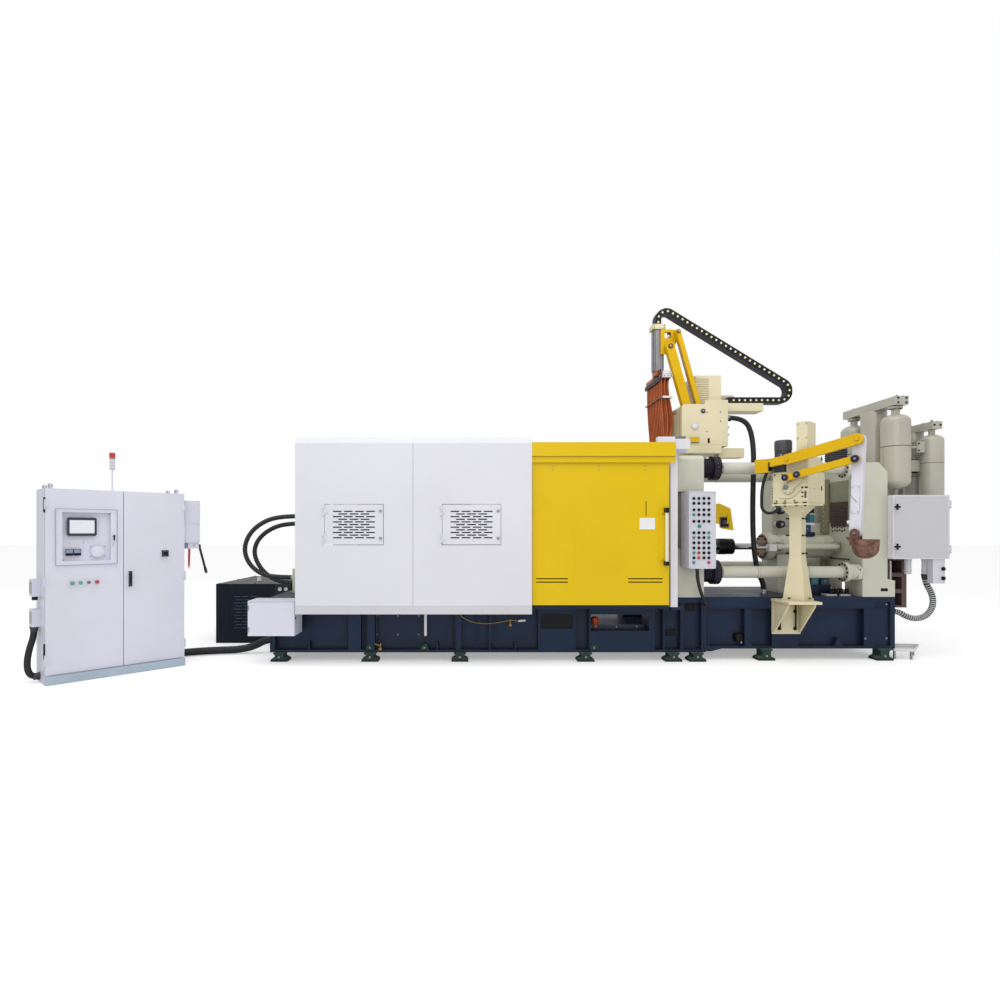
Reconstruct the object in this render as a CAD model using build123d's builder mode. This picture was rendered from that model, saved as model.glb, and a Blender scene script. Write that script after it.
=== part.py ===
"""A cold-chamber die casting machine: clamp unit, shot unit, ladling arm, spray arm, oil tank and cabinet.

Millimetres. +X runs from the clamp end to the shot end, +Y away from the operator, +Z up.
The origin is on the floor, under the middle of the whole plant.
"""

from build123d import *
import os
from math import atan2, cos, degrees, hypot, pi, radians, sin, tan

os.makedirs("parts", exist_ok=True)

# Fits: running gaps between pieces that move, and the gap at a seat or pin.
SEAT_GAP = 0.3
PIN_GAP = 0.5
RUN_GAP = 6.0

# Door hinges: barrel size, and how far the axis stands out of the door's edge and of its front.
HINGE_DIAMETER = 12.0
HINGE_HALF = 25.0
HINGE_SIDE = 3.0
HINGE_OUT = 11.0

# Machine axis and tie bars.
AXIS_Z = 1640.0
TIE_PITCH_Y = 1160.0
TIE_PITCH_Z = 1230.0
TIE_DIAMETER = 170.0
TIE_Y = TIE_PITCH_Y / 2
TIE_LOW = AXIS_Z - TIE_PITCH_Z / 2
TIE_HIGH = AXIS_Z + TIE_PITCH_Z / 2
TIE_PLACES = [(y, z) for y in (-TIE_Y, TIE_Y) for z in (TIE_LOW, TIE_HIGH)]

# Base frames.
FOOT_HEIGHT = 100.0
BASE_TOP = 740.0
BASE_PLATE = 30.0
CLAMP_BASE_LEFT = -3020.0
CLAMP_BASE_RIGHT = 2050.0
CLAMP_BASE_HALF = 720.0
SHOT_BASE_RIGHT = 4295.0
SHOT_BASE_HALF = 660.0
WEB_RECESS = 70.0
BASE_JOINT_GAP = 0.3

# Platens.
PLATEN_HALF_Y = 720.0
PLATEN_TOP = 2396.0
PLATEN_BOTTOM = 884.0
PLATEN_THICK = 400.0
FIXED_FACE = 1630.0
FIXED_BACK = FIXED_FACE + PLATEN_THICK
MOVING_FACE = 330.0
MOVING_BACK = MOVING_FACE - 380.0
REAR_FACE = -1600.0
REAR_BACK = -2000.0
SHOT_Z = 1315.0
SLEEVE_BORE = 150.0
SLEEVE_STEP = (AXIS_Z - SHOT_Z) / 2

# Guards and sliding door.
GUARD_LEFT = -2620.0
GUARD_SEAM = -1322.0
GUARD_RIGHT = -13.0
GUARD_FRONT = -1100.0
GUARD_SKIN = 6.0
GUARD_BOTTOM = 594.0
GUARD_TOP = 2545.0
GUARD_STIFFENER = 34.0
SILL_TOP = 652.0
POST_BOTTOM = 661.0
DOOR_LEFT = -4.0
DOOR_RIGHT = 1510.0
DOOR_BOTTOM = 690.0
DOOR_TOP = 2330.0
DOOR_FRONT = -1054.0
DOOR_THICK = 40.0
LOUVRE_WIDTH = 640.0
LOUVRE_HEIGHT = 440.0
LOUVRE_BOTTOM = 1362.0
LOUVRE_CENTRES = (-1971.0, -678.0)
LOUVRE_THICK = 20.0
LOUVRE_FRONT = GUARD_FRONT - 4.0
LOUVRE_HINGES = (LOUVRE_BOTTOM + 70, LOUVRE_BOTTOM + LOUVRE_HEIGHT - 70)

# Shot unit.
SHOT_ROD_DIAMETER = 80.0
COUPLING_LEFT = 2480.0
COUPLING_RIGHT = 2674.0
SHOT_FLANGE_LEFT = 3060.0
SHOT_FLANGE_RIGHT = 3160.0
SHOT_BODY_DIAMETER = 290.0
END_PLATE_LEFT = 3915.0
END_PLATE_RIGHT = 4207.0
END_PLATE_TOP = 2317.0
ROD_DIAMETER = 140.0
NUT_INNER_END = 2160.0
NUT_END = 2244.0

# Accumulators.
BOTTLE_X = END_PLATE_RIGHT + 288
BOTTLE_DIAMETER = 312.0
BOTTLE_PITCH = 390.0
BOOST_X = END_PLATE_RIGHT + 798
BOOST_DIAMETER = 250.0
BOOST_PITCH = 300.0

# Ladling arm, in its own turned frame: u out along the arms, v across them.
LADLER_TURN = -50.0
LADLER_PLANE = Plane(Location((3057, -840, 0), (0, 0, LADLER_TURN)))
LADLER_PLATE_TOP = 722.0
COLUMN_SIZE = 128.0
COLUMN_U = -4.0
HEAD_BOTTOM = 1820.0
HEAD_FRONT = -200.0
ARM_FRONT = -305.0
ARM_BACK = -255.0
PIVOT_UPPER = (-5.0, 2308.0)
PIVOT_LOWER = (-20.0, 2105.0)
ARM_REACH = (685.0, 147.0)
DROP_UPPER = (PIVOT_UPPER[0] + ARM_REACH[0], PIVOT_UPPER[1] + ARM_REACH[1])
DROP_LOWER = (PIVOT_LOWER[0] + ARM_REACH[0], PIVOT_LOWER[1] + ARM_REACH[1])
LADLE_PIVOT = (645.0, 1490.0)
PIN_DIAMETER = 36.0

# Spray arm, in the plane of the machine.
SPRAY_FOOT = (2068.0, 2798.0)
SPRAY_LINK_FOOT = (2166.0, 2982.0)
SPRAY_REACH = (-278.0, 1000.0)
SPRAY_TOP = (SPRAY_FOOT[0] + SPRAY_REACH[0], SPRAY_FOOT[1] + SPRAY_REACH[1])
SPRAY_LINK_TOP = (SPRAY_LINK_FOOT[0] + SPRAY_REACH[0], SPRAY_LINK_FOOT[1] + SPRAY_REACH[1])
SPRAY_ARM_FRONT = -290.0
SPRAY_ARM_BACK = -210.0

# Control cabinet, in its own turned frame: x along its front, y into it.
CABINET_TURN = 44.7
CABINET_PLANE = Plane(Location((-4840, -1860, 0), (0, 0, CABINET_TURN)))
CABINET_WIDTH = 1310.0
CABINET_DEPTH = 420.0
CABINET_HEIGHT = 1930.0
CABINET_PLINTH = 90.0
CABINET_DOOR = 24.0
CABINET_SEAM = 690.0


def block(x_range, y_range, z_range, mode=Mode.ADD):
    """A plain block between limits along each axis of the part's plane."""
    limits = (x_range, y_range, z_range)
    with Locations(tuple(sum(pair) / 2 for pair in limits)):
        Box(*[pair[1] - pair[0] for pair in limits], mode=mode)


def rod_x(x_range, centre, diameter, mode=Mode.ADD):
    """A round bar along X between two limits, with its centre at (y, z)."""
    with Locations(Location((sum(x_range) / 2, *centre), (0, 90, 0))):
        Cylinder(diameter / 2, x_range[1] - x_range[0], mode=mode)


def rod_y(y_range, centre, diameter, mode=Mode.ADD):
    """A round bar along Y between two limits, with its centre at (x, z)."""
    with Locations(Location((centre[0], sum(y_range) / 2, centre[1]), (90, 0, 0))):
        Cylinder(diameter / 2, y_range[1] - y_range[0], mode=mode)


def rod_z(z_range, centre, diameter, mode=Mode.ADD):
    """An upright round bar between two limits, with its centre at (x, y)."""
    with Locations((*centre, sum(z_range) / 2)):
        Cylinder(diameter / 2, z_range[1] - z_range[0], mode=mode)


def upright(frame, v):
    """The upright plane across v in a turned frame: sketch x is the frame's x, sketch y is up."""
    return Plane(origin=frame.from_local_coords((0, v, 0)), x_dir=frame.x_dir, z_dir=-frame.y_dir)


def bar_between(start, end, width):
    """A bar with round ends from one point of a sketch to the other."""
    middle = ((start[0] + end[0]) / 2, (start[1] + end[1]) / 2)
    span = (end[0] - start[0], end[1] - start[1])
    with Locations(Location((*middle, 0), (0, 0, degrees(atan2(span[1], span[0]))))):
        SlotCenterToCenter(hypot(*span), width)


def hinge_knuckles(axis, leaf_x, leaf_y, heights):
    """A door's half of its hinges: round knuckles about an upright axis, each on a leaf."""
    for height in heights:
        span = (height - HINGE_HALF, height + HINGE_HALF)
        rod_z(span, axis, HINGE_DIAMETER)
        block(leaf_x, leaf_y, span)


def hinge_pins(axis, leaf_x, leaf_y, heights):
    """The fixed half of the hinges: a pin over and under each knuckle, each on a leaf."""
    for height in heights:
        for side in (-1, 1):
            span = sorted((height + side * (HINGE_HALF + SEAT_GAP), height + side * (HINGE_HALF + 22)))
            rod_z(span, axis, HINGE_DIAMETER)
            block(leaf_x, leaf_y, span)


def bend_radii(points):
    """At each inner point of a route, 0.45 of the shorter run over the tangent of half the turn."""
    radii = []
    for before, here, after in zip(points, points[1:], points[2:]):
        run_in = Vector(*here) - Vector(*before)
        run_out = Vector(*after) - Vector(*here)
        half_turn = radians(run_in.get_angle(run_out) / 2)
        radii.append(0.45 * min(run_in.length, run_out.length) / tan(half_turn))
    return radii


def hose(name, points, diameter):
    """A round hose along straight runs joined by tangent arcs."""
    radii = bend_radii(points)
    with BuildPart() as tube:
        with BuildLine() as route:
            FilletPolyline(*points, radius=radii)
        with BuildSketch(Plane(origin=route.line @ 0, z_dir=route.line % 0)):
            Circle(diameter / 2)
        sweep()
    length = sum(edge.length for edge in route.edges())
    share = tube.part.volume / (pi * diameter**2 / 4 * length)
    print(name, "length", round(length), "radii", [round(r) for r in radii], "share", round(share, 4))
    return tube


# Clamp base: a welded box frame with recessed webs between posts, and a scrap opening.
WEB_BAYS = [
    (-2960, -2110),
    (-1960, -1890),
    (-1800, -860),
    (-790, -470),
    (-430, 100),
    (540, 690),
    (1455, 1550),
    (1575, 1755),
    (1790, 2000),
]
SCRAP_OPENING = ((716, 1390), (348, 540))
GUIDE_OUTER = 1002.0
GUIDE_BOTTOM = 640.0
GUIDE_SHELVES = (200.0, 760.0, 1360.0)
POST_X = (1546.0, 1625.0)
POST_OUTER = 1000.0
with BuildPart() as clamp_base:
    block((CLAMP_BASE_LEFT, CLAMP_BASE_RIGHT), (-CLAMP_BASE_HALF, CLAMP_BASE_HALF), (FOOT_HEIGHT, BASE_TOP))
    for side in (-1, 1):
        web = sorted((side * (CLAMP_BASE_HALF - WEB_RECESS), side * (CLAMP_BASE_HALF + 1)))
        for bay in WEB_BAYS:
            block(bay, web, (FOOT_HEIGHT + BASE_PLATE, BASE_TOP - 2 * BASE_PLATE), mode=Mode.SUBTRACT)
    block(SCRAP_OPENING[0], (-CLAMP_BASE_HALF - 1, CLAMP_BASE_HALF + 1), SCRAP_OPENING[1], mode=Mode.SUBTRACT)
    block((MOVING_FACE + 60, FIXED_FACE - 40), (-450, 450), (SCRAP_OPENING[1][0], BASE_TOP + 1), mode=Mode.SUBTRACT)
    for side in (-1, 1):
        shelf = sorted((side * (CLAMP_BASE_HALF - 1), side * GUIDE_OUTER))
        for left in GUIDE_SHELVES:
            block((left, left + 60), shelf, (GUIDE_BOTTOM, GUIDE_BOTTOM + 14))
        lip = sorted((side * (GUIDE_OUTER - 20), side * GUIDE_OUTER))
        block((GUARD_RIGHT + 30, POST_X[0] - 20), lip, (GUIDE_BOTTOM, GUIDE_BOTTOM + 62))
        bracket = sorted((side * (CLAMP_BASE_HALF - WEB_RECESS - 1), side * (POST_OUTER + 6)))
        block((POST_X[0] + 10, POST_X[1] + 60), bracket, (POST_BOTTOM - 32, POST_BOTTOM - SEAT_GAP))
clamp_base.part.label = "clamp_base"
export_step(clamp_base.part, "parts/clamp_base.step")

# Shot base: the same frame under the shot unit, a little narrower, with a lower sill.
SHOT_BASE_LEFT = CLAMP_BASE_RIGHT + BASE_JOINT_GAP
SHOT_BAYS = [(2110, 2530), (2620, 3930)]
with BuildPart() as shot_base:
    with BuildSketch(Plane.XZ.offset(-SHOT_BASE_HALF)):
        with BuildLine():
            Polyline(
                (SHOT_BASE_LEFT, FOOT_HEIGHT),
                (SHOT_BASE_LEFT + 90, FOOT_HEIGHT),
                (SHOT_BASE_LEFT + 210, FOOT_HEIGHT + 32),
                (SHOT_BASE_RIGHT, FOOT_HEIGHT + 32),
                (SHOT_BASE_RIGHT, BASE_TOP),
                (SHOT_BASE_LEFT, BASE_TOP),
                close=True,
            )
        make_face()
    extrude(amount=2 * SHOT_BASE_HALF)
    for side in (-1, 1):
        web = sorted((side * (SHOT_BASE_HALF - WEB_RECESS), side * (SHOT_BASE_HALF + 1)))
        for bay in SHOT_BAYS:
            block(bay, web, (FOOT_HEIGHT + 2 * BASE_PLATE, BASE_TOP - 140), mode=Mode.SUBTRACT)
        slot = sorted((side * (SHOT_BASE_HALF - 25), side * (SHOT_BASE_HALF + 1)))
        block((4060, 4240), slot, (FOOT_HEIGHT + 2 * BASE_PLATE, BASE_TOP - 60), mode=Mode.SUBTRACT)
shot_base.part.label = "shot_base"
export_step(shot_base.part, "parts/shot_base.step")

# Levelling feet: wedge mounts under both bases, each a flared block with a waist.
FOOT_PLACES = [(x, CLAMP_BASE_HALF - 30) for x in (-2900, -1850, -810, 650, 1665, 1943)] + [
    (2770, SHOT_BASE_HALF - 30),
    (4150, SHOT_BASE_HALF - 30),
]
with BuildPart() as levelling_feet:
    for foot_x, foot_y in FOOT_PLACES:
        top = FOOT_HEIGHT + (32 if foot_x > 2300 else 0)
        for side in (-1, 1):
            with BuildSketch(Plane.XZ.offset(-side * foot_y - 75)):
                with BuildLine():
                    Polyline(
                        (foot_x - 95, 0),
                        (foot_x + 95, 0),
                        (foot_x + 95, 28),
                        (foot_x + 50, 50),
                        (foot_x + 50, top - 22),
                        (foot_x + 70, top - 12),
                        (foot_x + 70, top),
                        (foot_x - 70, top),
                        (foot_x - 70, top - 12),
                        (foot_x - 50, top - 22),
                        (foot_x - 50, 50),
                        (foot_x - 95, 28),
                        close=True,
                    )
                make_face()
            extrude(amount=150)
levelling_feet.part.label = "levelling_feet"
export_step(levelling_feet.part, "parts/levelling_feet.step")


def platen_body(face_x, thickness):
    """A cast platen block with round corners, bored for the four tie bars, on two feet."""
    with BuildSketch(Plane.YZ.offset(face_x)) as outline:
        with Locations((0, (PLATEN_TOP + PLATEN_BOTTOM) / 2)):
            RectangleRounded(2 * PLATEN_HALF_Y, PLATEN_TOP - PLATEN_BOTTOM, 60)
        with Locations(*[(y, (BASE_TOP + PLATEN_BOTTOM + 80) / 2) for y in (-570, 570)]):
            Rectangle(300, PLATEN_BOTTOM + 80 - BASE_TOP)
        with Locations(*TIE_PLACES):
            Circle(TIE_DIAMETER / 2 + SEAT_GAP, mode=Mode.SUBTRACT)
    extrude(outline.sketch, amount=thickness)


# Fixed platen: three sleeve bores below the axis, slots for die clamps, and lightening pockets in its sides.
with BuildPart() as fixed_platen:
    platen_body(FIXED_FACE, PLATEN_THICK)
    for step in range(3):
        rod_x((FIXED_FACE - 1, FIXED_BACK + 1), (0, AXIS_Z - step * SLEEVE_STEP), SLEEVE_BORE, mode=Mode.SUBTRACT)
    for slot_z in (AXIS_Z - 500, AXIS_Z + 180, AXIS_Z + 500):
        block((FIXED_FACE - 1, FIXED_FACE + 30), (-400, 400), (slot_z - 18, slot_z + 18), mode=Mode.SUBTRACT)
    for side in (-1, 1):
        pocket = sorted((side * (PLATEN_HALF_Y - 110), side * (PLATEN_HALF_Y + 1)))
        block((FIXED_FACE + 90, FIXED_BACK - 90), pocket, (AXIS_Z - 330, AXIS_Z + 330), mode=Mode.SUBTRACT)
fixed_platen.part.label = "fixed_platen"
export_step(fixed_platen.part, "parts/fixed_platen.step")

# Toggle pins, seen along Y: on the rear platen, at the knee and on the moving platen.
PIN_REAR = (-1490.0, 400.0)
PIN_KNEE = (-880.0, 260.0)
PIN_MOVING = (-190.0, 400.0)
PIN_SHORT = (-1180.0, 250.0)
PIN_CROSS = (-1330.0, 130.0)
TOGGLE_PIN = 110.0
LUG_Y = (70.0, 180.0)
LINK_Y = (186.0, 300.0)

# Moving platen: the same casting with lugs for the toggle on its back.
with BuildPart() as moving_platen:
    platen_body(MOVING_BACK, MOVING_FACE - MOVING_BACK)
    for slot_z in (AXIS_Z - 500, AXIS_Z + 180, AXIS_Z + 500):
        block((MOVING_FACE - 30, MOVING_FACE + 1), (-400, 400), (slot_z - 18, slot_z + 18), mode=Mode.SUBTRACT)
    for sign in (-1, 1):
        for side in (-1, 1):
            low_y = min(side * LUG_Y[0], side * LUG_Y[1])
            with BuildSketch(Plane.XZ.offset(-low_y - (LUG_Y[1] - LUG_Y[0]))):
                with BuildLine():
                    Polyline(
                        (MOVING_BACK + 1, AXIS_Z + sign * 210),
                        (PIN_MOVING[0], AXIS_Z + sign * (PIN_MOVING[1] - 95)),
                        (PIN_MOVING[0], AXIS_Z + sign * (PIN_MOVING[1] + 95)),
                        (MOVING_BACK + 1, AXIS_Z + sign * 590),
                        close=True,
                    )
                make_face()
                with Locations((PIN_MOVING[0], AXIS_Z + sign * PIN_MOVING[1])):
                    Circle(95)
                    Circle(TOGGLE_PIN / 2 + PIN_GAP, mode=Mode.SUBTRACT)
            extrude(amount=LUG_Y[1] - LUG_Y[0])
moving_platen.part.label = "moving_platen"
export_step(moving_platen.part, "parts/moving_platen.step")

# Rear platen: carries the toggle on its face and the clamp cylinder on its back.
CLAMP_BORE = 320.0
with BuildPart() as rear_platen:
    platen_body(REAR_BACK, REAR_FACE - REAR_BACK)
    rod_x((REAR_BACK - 1, REAR_FACE + 1), (0, AXIS_Z), CLAMP_BORE, mode=Mode.SUBTRACT)
    for sign in (-1, 1):
        for side in (-1, 1):
            low_y = min(side * LUG_Y[0], side * LUG_Y[1])
            with BuildSketch(Plane.XZ.offset(-low_y - (LUG_Y[1] - LUG_Y[0]))):
                with BuildLine():
                    Polyline(
                        (REAR_FACE - 1, AXIS_Z + sign * 210),
                        (PIN_REAR[0], AXIS_Z + sign * (PIN_REAR[1] - 95)),
                        (PIN_REAR[0], AXIS_Z + sign * (PIN_REAR[1] + 95)),
                        (REAR_FACE - 1, AXIS_Z + sign * 590),
                        close=True,
                    )
                make_face()
                with Locations((PIN_REAR[0], AXIS_Z + sign * PIN_REAR[1])):
                    Circle(95)
                    Circle(TOGGLE_PIN / 2 + PIN_GAP, mode=Mode.SUBTRACT)
            extrude(amount=LUG_Y[1] - LUG_Y[0])
rear_platen.part.label = "rear_platen"
export_step(rear_platen.part, "parts/rear_platen.step")

# Tie bars through the three platens.
TIE_LEFT = REAR_BACK - 190
with BuildPart() as tie_bars:
    for place in TIE_PLACES:
        rod_x((TIE_LEFT, NUT_END - 60), place, TIE_DIAMETER)
tie_bars.part.label = "tie_bars"
export_step(tie_bars.part, "parts/tie_bars.step")

# Tie-bar nuts: a ribbed inner nut and a wider clamp ring at the shot end, plain nuts at the rear.
with BuildPart() as tie_bar_nuts:
    for place in TIE_PLACES:
        rod_x((FIXED_BACK, NUT_INNER_END), place, 236)
        for groove in range(4):
            left = FIXED_BACK + 18 + groove * 28
            rod_x((left, left + 12), place, 237, mode=Mode.SUBTRACT)
            rod_x((left, left + 12), place, 212)
        rod_x((NUT_INNER_END, NUT_END), place, 286)
        rod_x((REAR_BACK - 150, REAR_BACK), place, 260)
    for place in TIE_PLACES:
        rod_x((REAR_BACK - 200, NUT_END - 60), place, TIE_DIAMETER + 2 * SEAT_GAP, mode=Mode.SUBTRACT)
        rod_x((NUT_END - 61, NUT_END + 1), place, ROD_DIAMETER, mode=Mode.SUBTRACT)
tie_bar_nuts.part.label = "tie_bar_nuts"
export_step(tie_bar_nuts.part, "parts/tie_bar_nuts.step")

# Toggle: on each side of the axis a rear link, a front link and a short link, with their pins.
with BuildPart() as toggle_links:
    for sign in (-1, 1):
        for side in (-1, 1):
            low_y = min(side * LINK_Y[0], side * LINK_Y[1])
            with BuildSketch(Plane.XZ.offset(-low_y - (LINK_Y[1] - LINK_Y[0]))):
                rear = (PIN_REAR[0], AXIS_Z + sign * PIN_REAR[1])
                knee = (PIN_KNEE[0], AXIS_Z + sign * PIN_KNEE[1])
                front = (PIN_MOVING[0], AXIS_Z + sign * PIN_MOVING[1])
                bar_between(rear, knee, 170)
                bar_between(knee, front, 150)
            extrude(amount=LINK_Y[1] - LINK_Y[0])
        for pin in (PIN_REAR, PIN_KNEE, PIN_MOVING):
            rod_y((-LINK_Y[1] - 15, LINK_Y[1] + 15), (pin[0], AXIS_Z + sign * pin[1]), TOGGLE_PIN)
        with BuildSketch(Plane.XZ.offset(-55)):
            short = (PIN_SHORT[0], AXIS_Z + sign * PIN_SHORT[1])
            cross = (PIN_CROSS[0], AXIS_Z + sign * PIN_CROSS[1])
            bar_between(short, cross, 120)
        extrude(amount=110)
        rod_y((-LINK_Y[0] - 20, LINK_Y[0] + 20), (PIN_SHORT[0], AXIS_Z + sign * (PIN_SHORT[1] + 20)), 70)
        rod_y((-170, 170), (PIN_CROSS[0], AXIS_Z + sign * PIN_CROSS[1]), 70)
toggle_links.part.label = "toggle_links"
export_step(toggle_links.part, "parts/toggle_links.step")

# Clamp cylinder behind the rear platen, with its rod, the crosshead, a pedestal and its valve block.
CYLINDER_END = -2850.0
with BuildPart() as clamp_cylinder:
    with BuildSketch(Plane.XZ):
        with BuildLine():
            Polyline(
                (CYLINDER_END, AXIS_Z),
                (CYLINDER_END, AXIS_Z + 190),
                (CYLINDER_END + 90, AXIS_Z + 190),
                (CYLINDER_END + 90, AXIS_Z + 160),
                (REAR_BACK - 90, AXIS_Z + 160),
                (REAR_BACK - 90, AXIS_Z + 230),
                (REAR_BACK - SEAT_GAP, AXIS_Z + 230),
                (REAR_BACK - SEAT_GAP, AXIS_Z + 150),
                (REAR_FACE, AXIS_Z + 150),
                (REAR_FACE, AXIS_Z + 60),
                (PIN_CROSS[0] - 80, AXIS_Z + 60),
                (PIN_CROSS[0] - 80, AXIS_Z),
                close=True,
            )
        make_face()
    revolve(axis=Axis((0, 0, AXIS_Z), (1, 0, 0)))
    block((PIN_CROSS[0] - 90, PIN_CROSS[0] + 70), (-170, 170), (AXIS_Z - 210, AXIS_Z + 210))
    block((PIN_CROSS[0] - 91, PIN_CROSS[0] + 71), (-61, 61), (AXIS_Z + 62, AXIS_Z + 211), mode=Mode.SUBTRACT)
    block((PIN_CROSS[0] - 91, PIN_CROSS[0] + 71), (-61, 61), (AXIS_Z - 211, AXIS_Z - 62), mode=Mode.SUBTRACT)
    for sign in (-1, 1):
        rod_y((-171, 171), (PIN_CROSS[0], AXIS_Z + sign * PIN_CROSS[1]), 70 + 2 * PIN_GAP, mode=Mode.SUBTRACT)
    block((CYLINDER_END + 20, CYLINDER_END + 240), (-150, 150), (BASE_TOP, AXIS_Z - 120))
    block((CYLINDER_END - 60, CYLINDER_END + 60), (-190, 190), (BASE_TOP, BASE_TOP + 300))
clamp_cylinder.part.label = "clamp_cylinder"
export_step(clamp_cylinder.part, "parts/clamp_cylinder.step")


def louvre_x_range(centre, margin=0.0):
    """The limits along X of an access door, or of its opening with a margin."""
    return (centre - LOUVRE_WIDTH / 2 - margin, centre + LOUVRE_WIDTH / 2 + margin)


# Front guard: bent sheet with a sloped top edge, stiffened behind, on a sill that the base carries.
with BuildPart() as front_guard:
    with BuildSketch(Plane.YZ.offset(GUARD_LEFT)):
        with BuildLine():
            Polyline(
                (GUARD_FRONT, GUARD_BOTTOM),
                (GUARD_FRONT, GUARD_TOP - 66),
                (GUARD_FRONT + 32, GUARD_TOP),
                (GUARD_FRONT + 110, GUARD_TOP),
                (GUARD_FRONT + 110, GUARD_TOP - GUARD_SKIN),
                (GUARD_FRONT + 36, GUARD_TOP - GUARD_SKIN),
                (GUARD_FRONT + GUARD_SKIN, GUARD_TOP - 67),
                (GUARD_FRONT + GUARD_SKIN, GUARD_BOTTOM + GUARD_SKIN),
                (-CLAMP_BASE_HALF - SEAT_GAP, GUARD_BOTTOM + GUARD_SKIN),
                (-CLAMP_BASE_HALF - SEAT_GAP, GUARD_BOTTOM),
                close=True,
            )
        make_face()
    extrude(amount=GUARD_RIGHT - GUARD_LEFT)
    left_return = [(GUARD_LEFT, GUARD_LEFT + GUARD_SKIN), (GUARD_FRONT, -780), (GUARD_BOTTOM, GUARD_TOP - 66)]
    block(*left_return)
    stiffener = (GUARD_FRONT, GUARD_FRONT + GUARD_STIFFENER)
    for post_x in (GUARD_LEFT + 20, GUARD_SEAM, GUARD_RIGHT - 20):
        block((post_x - 20, post_x + 20), stiffener, (GUARD_BOTTOM, GUARD_TOP - 70))
    for beam_z in (LOUVRE_BOTTOM - 60, LOUVRE_BOTTOM + LOUVRE_HEIGHT + 60, GUARD_TOP - 90):
        block((GUARD_LEFT, GUARD_RIGHT), stiffener, (beam_z - 18, beam_z + 18))
    for centre in LOUVRE_CENTRES:
        opening = louvre_x_range(centre, RUN_GAP)
        span_z = (LOUVRE_BOTTOM - RUN_GAP, LOUVRE_BOTTOM + LOUVRE_HEIGHT + RUN_GAP)
        block(opening, (GUARD_FRONT - 1, GUARD_FRONT + GUARD_SKIN + 1), span_z, mode=Mode.SUBTRACT)
        hinge_x = centre - LOUVRE_WIDTH / 2 - HINGE_SIDE
        hinge_y = LOUVRE_FRONT - HINGE_OUT
        hinge_pins((hinge_x, hinge_y), (hinge_x - 28, hinge_x), (hinge_y, GUARD_FRONT + 1), LOUVRE_HINGES)
    block((GUARD_SEAM - 2, GUARD_SEAM + 2), (GUARD_FRONT - 1, GUARD_FRONT + 4), (0, 3000), mode=Mode.SUBTRACT)
    block((GUARD_LEFT, GUARD_RIGHT), (-1066, -CLAMP_BASE_HALF - SEAT_GAP), (GUARD_BOTTOM, SILL_TOP))
front_guard.part.label = "front_guard"
export_step(front_guard.part, "parts/front_guard.step")

# Access doors: louvred panels hinged on their left edge, eleven rows of slots, four and three by turns.
LOUVRE_ROWS = 11
ROW_PITCH = 29.0
SLOT_PITCH = 122.0
SLOT_LENGTH = 98.0
SLOT_HEIGHT = 13.0
for name, centre in zip(("left_access_door", "right_access_door"), LOUVRE_CENTRES):
    with BuildPart() as access_door:
        span_z = (LOUVRE_BOTTOM, LOUVRE_BOTTOM + LOUVRE_HEIGHT)
        block(louvre_x_range(centre), (LOUVRE_FRONT, LOUVRE_FRONT + LOUVRE_THICK), span_z)
        inner = (LOUVRE_BOTTOM + 16, LOUVRE_BOTTOM + LOUVRE_HEIGHT - 16)
        block(louvre_x_range(centre, -16), (GUARD_FRONT, GUARD_FRONT + LOUVRE_THICK), inner, mode=Mode.SUBTRACT)
        for row in range(LOUVRE_ROWS):
            row_z = LOUVRE_BOTTOM + LOUVRE_HEIGHT / 2 + (row - (LOUVRE_ROWS - 1) / 2) * ROW_PITCH
            count = 4 if row % 2 == 0 else 3
            for slot in range(count):
                slot_x = centre + (slot - (count - 1) / 2) * SLOT_PITCH
                slot_limits = (slot_x - SLOT_LENGTH / 2, slot_x + SLOT_LENGTH / 2)
                height = (row_z - SLOT_HEIGHT / 2, row_z + SLOT_HEIGHT / 2)
                block(slot_limits, (GUARD_FRONT - 5, GUARD_FRONT + 1), height, mode=Mode.SUBTRACT)
        for lock_z in LOUVRE_HINGES:
            rod_y((GUARD_FRONT - 10, GUARD_FRONT + 16), (centre + LOUVRE_WIDTH / 2 - 28, lock_z), 26)
        edge_x = centre - LOUVRE_WIDTH / 2
        knuckle_axis = (edge_x - HINGE_SIDE, LOUVRE_FRONT - HINGE_OUT)
        leaf_y = (LOUVRE_FRONT - 8, LOUVRE_FRONT + 1)
        hinge_knuckles(knuckle_axis, (edge_x - HINGE_SIDE, edge_x + 26), leaf_y, LOUVRE_HINGES)
    access_door.part.label = name
    export_step(access_door.part, f"parts/{name}.step")

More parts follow.
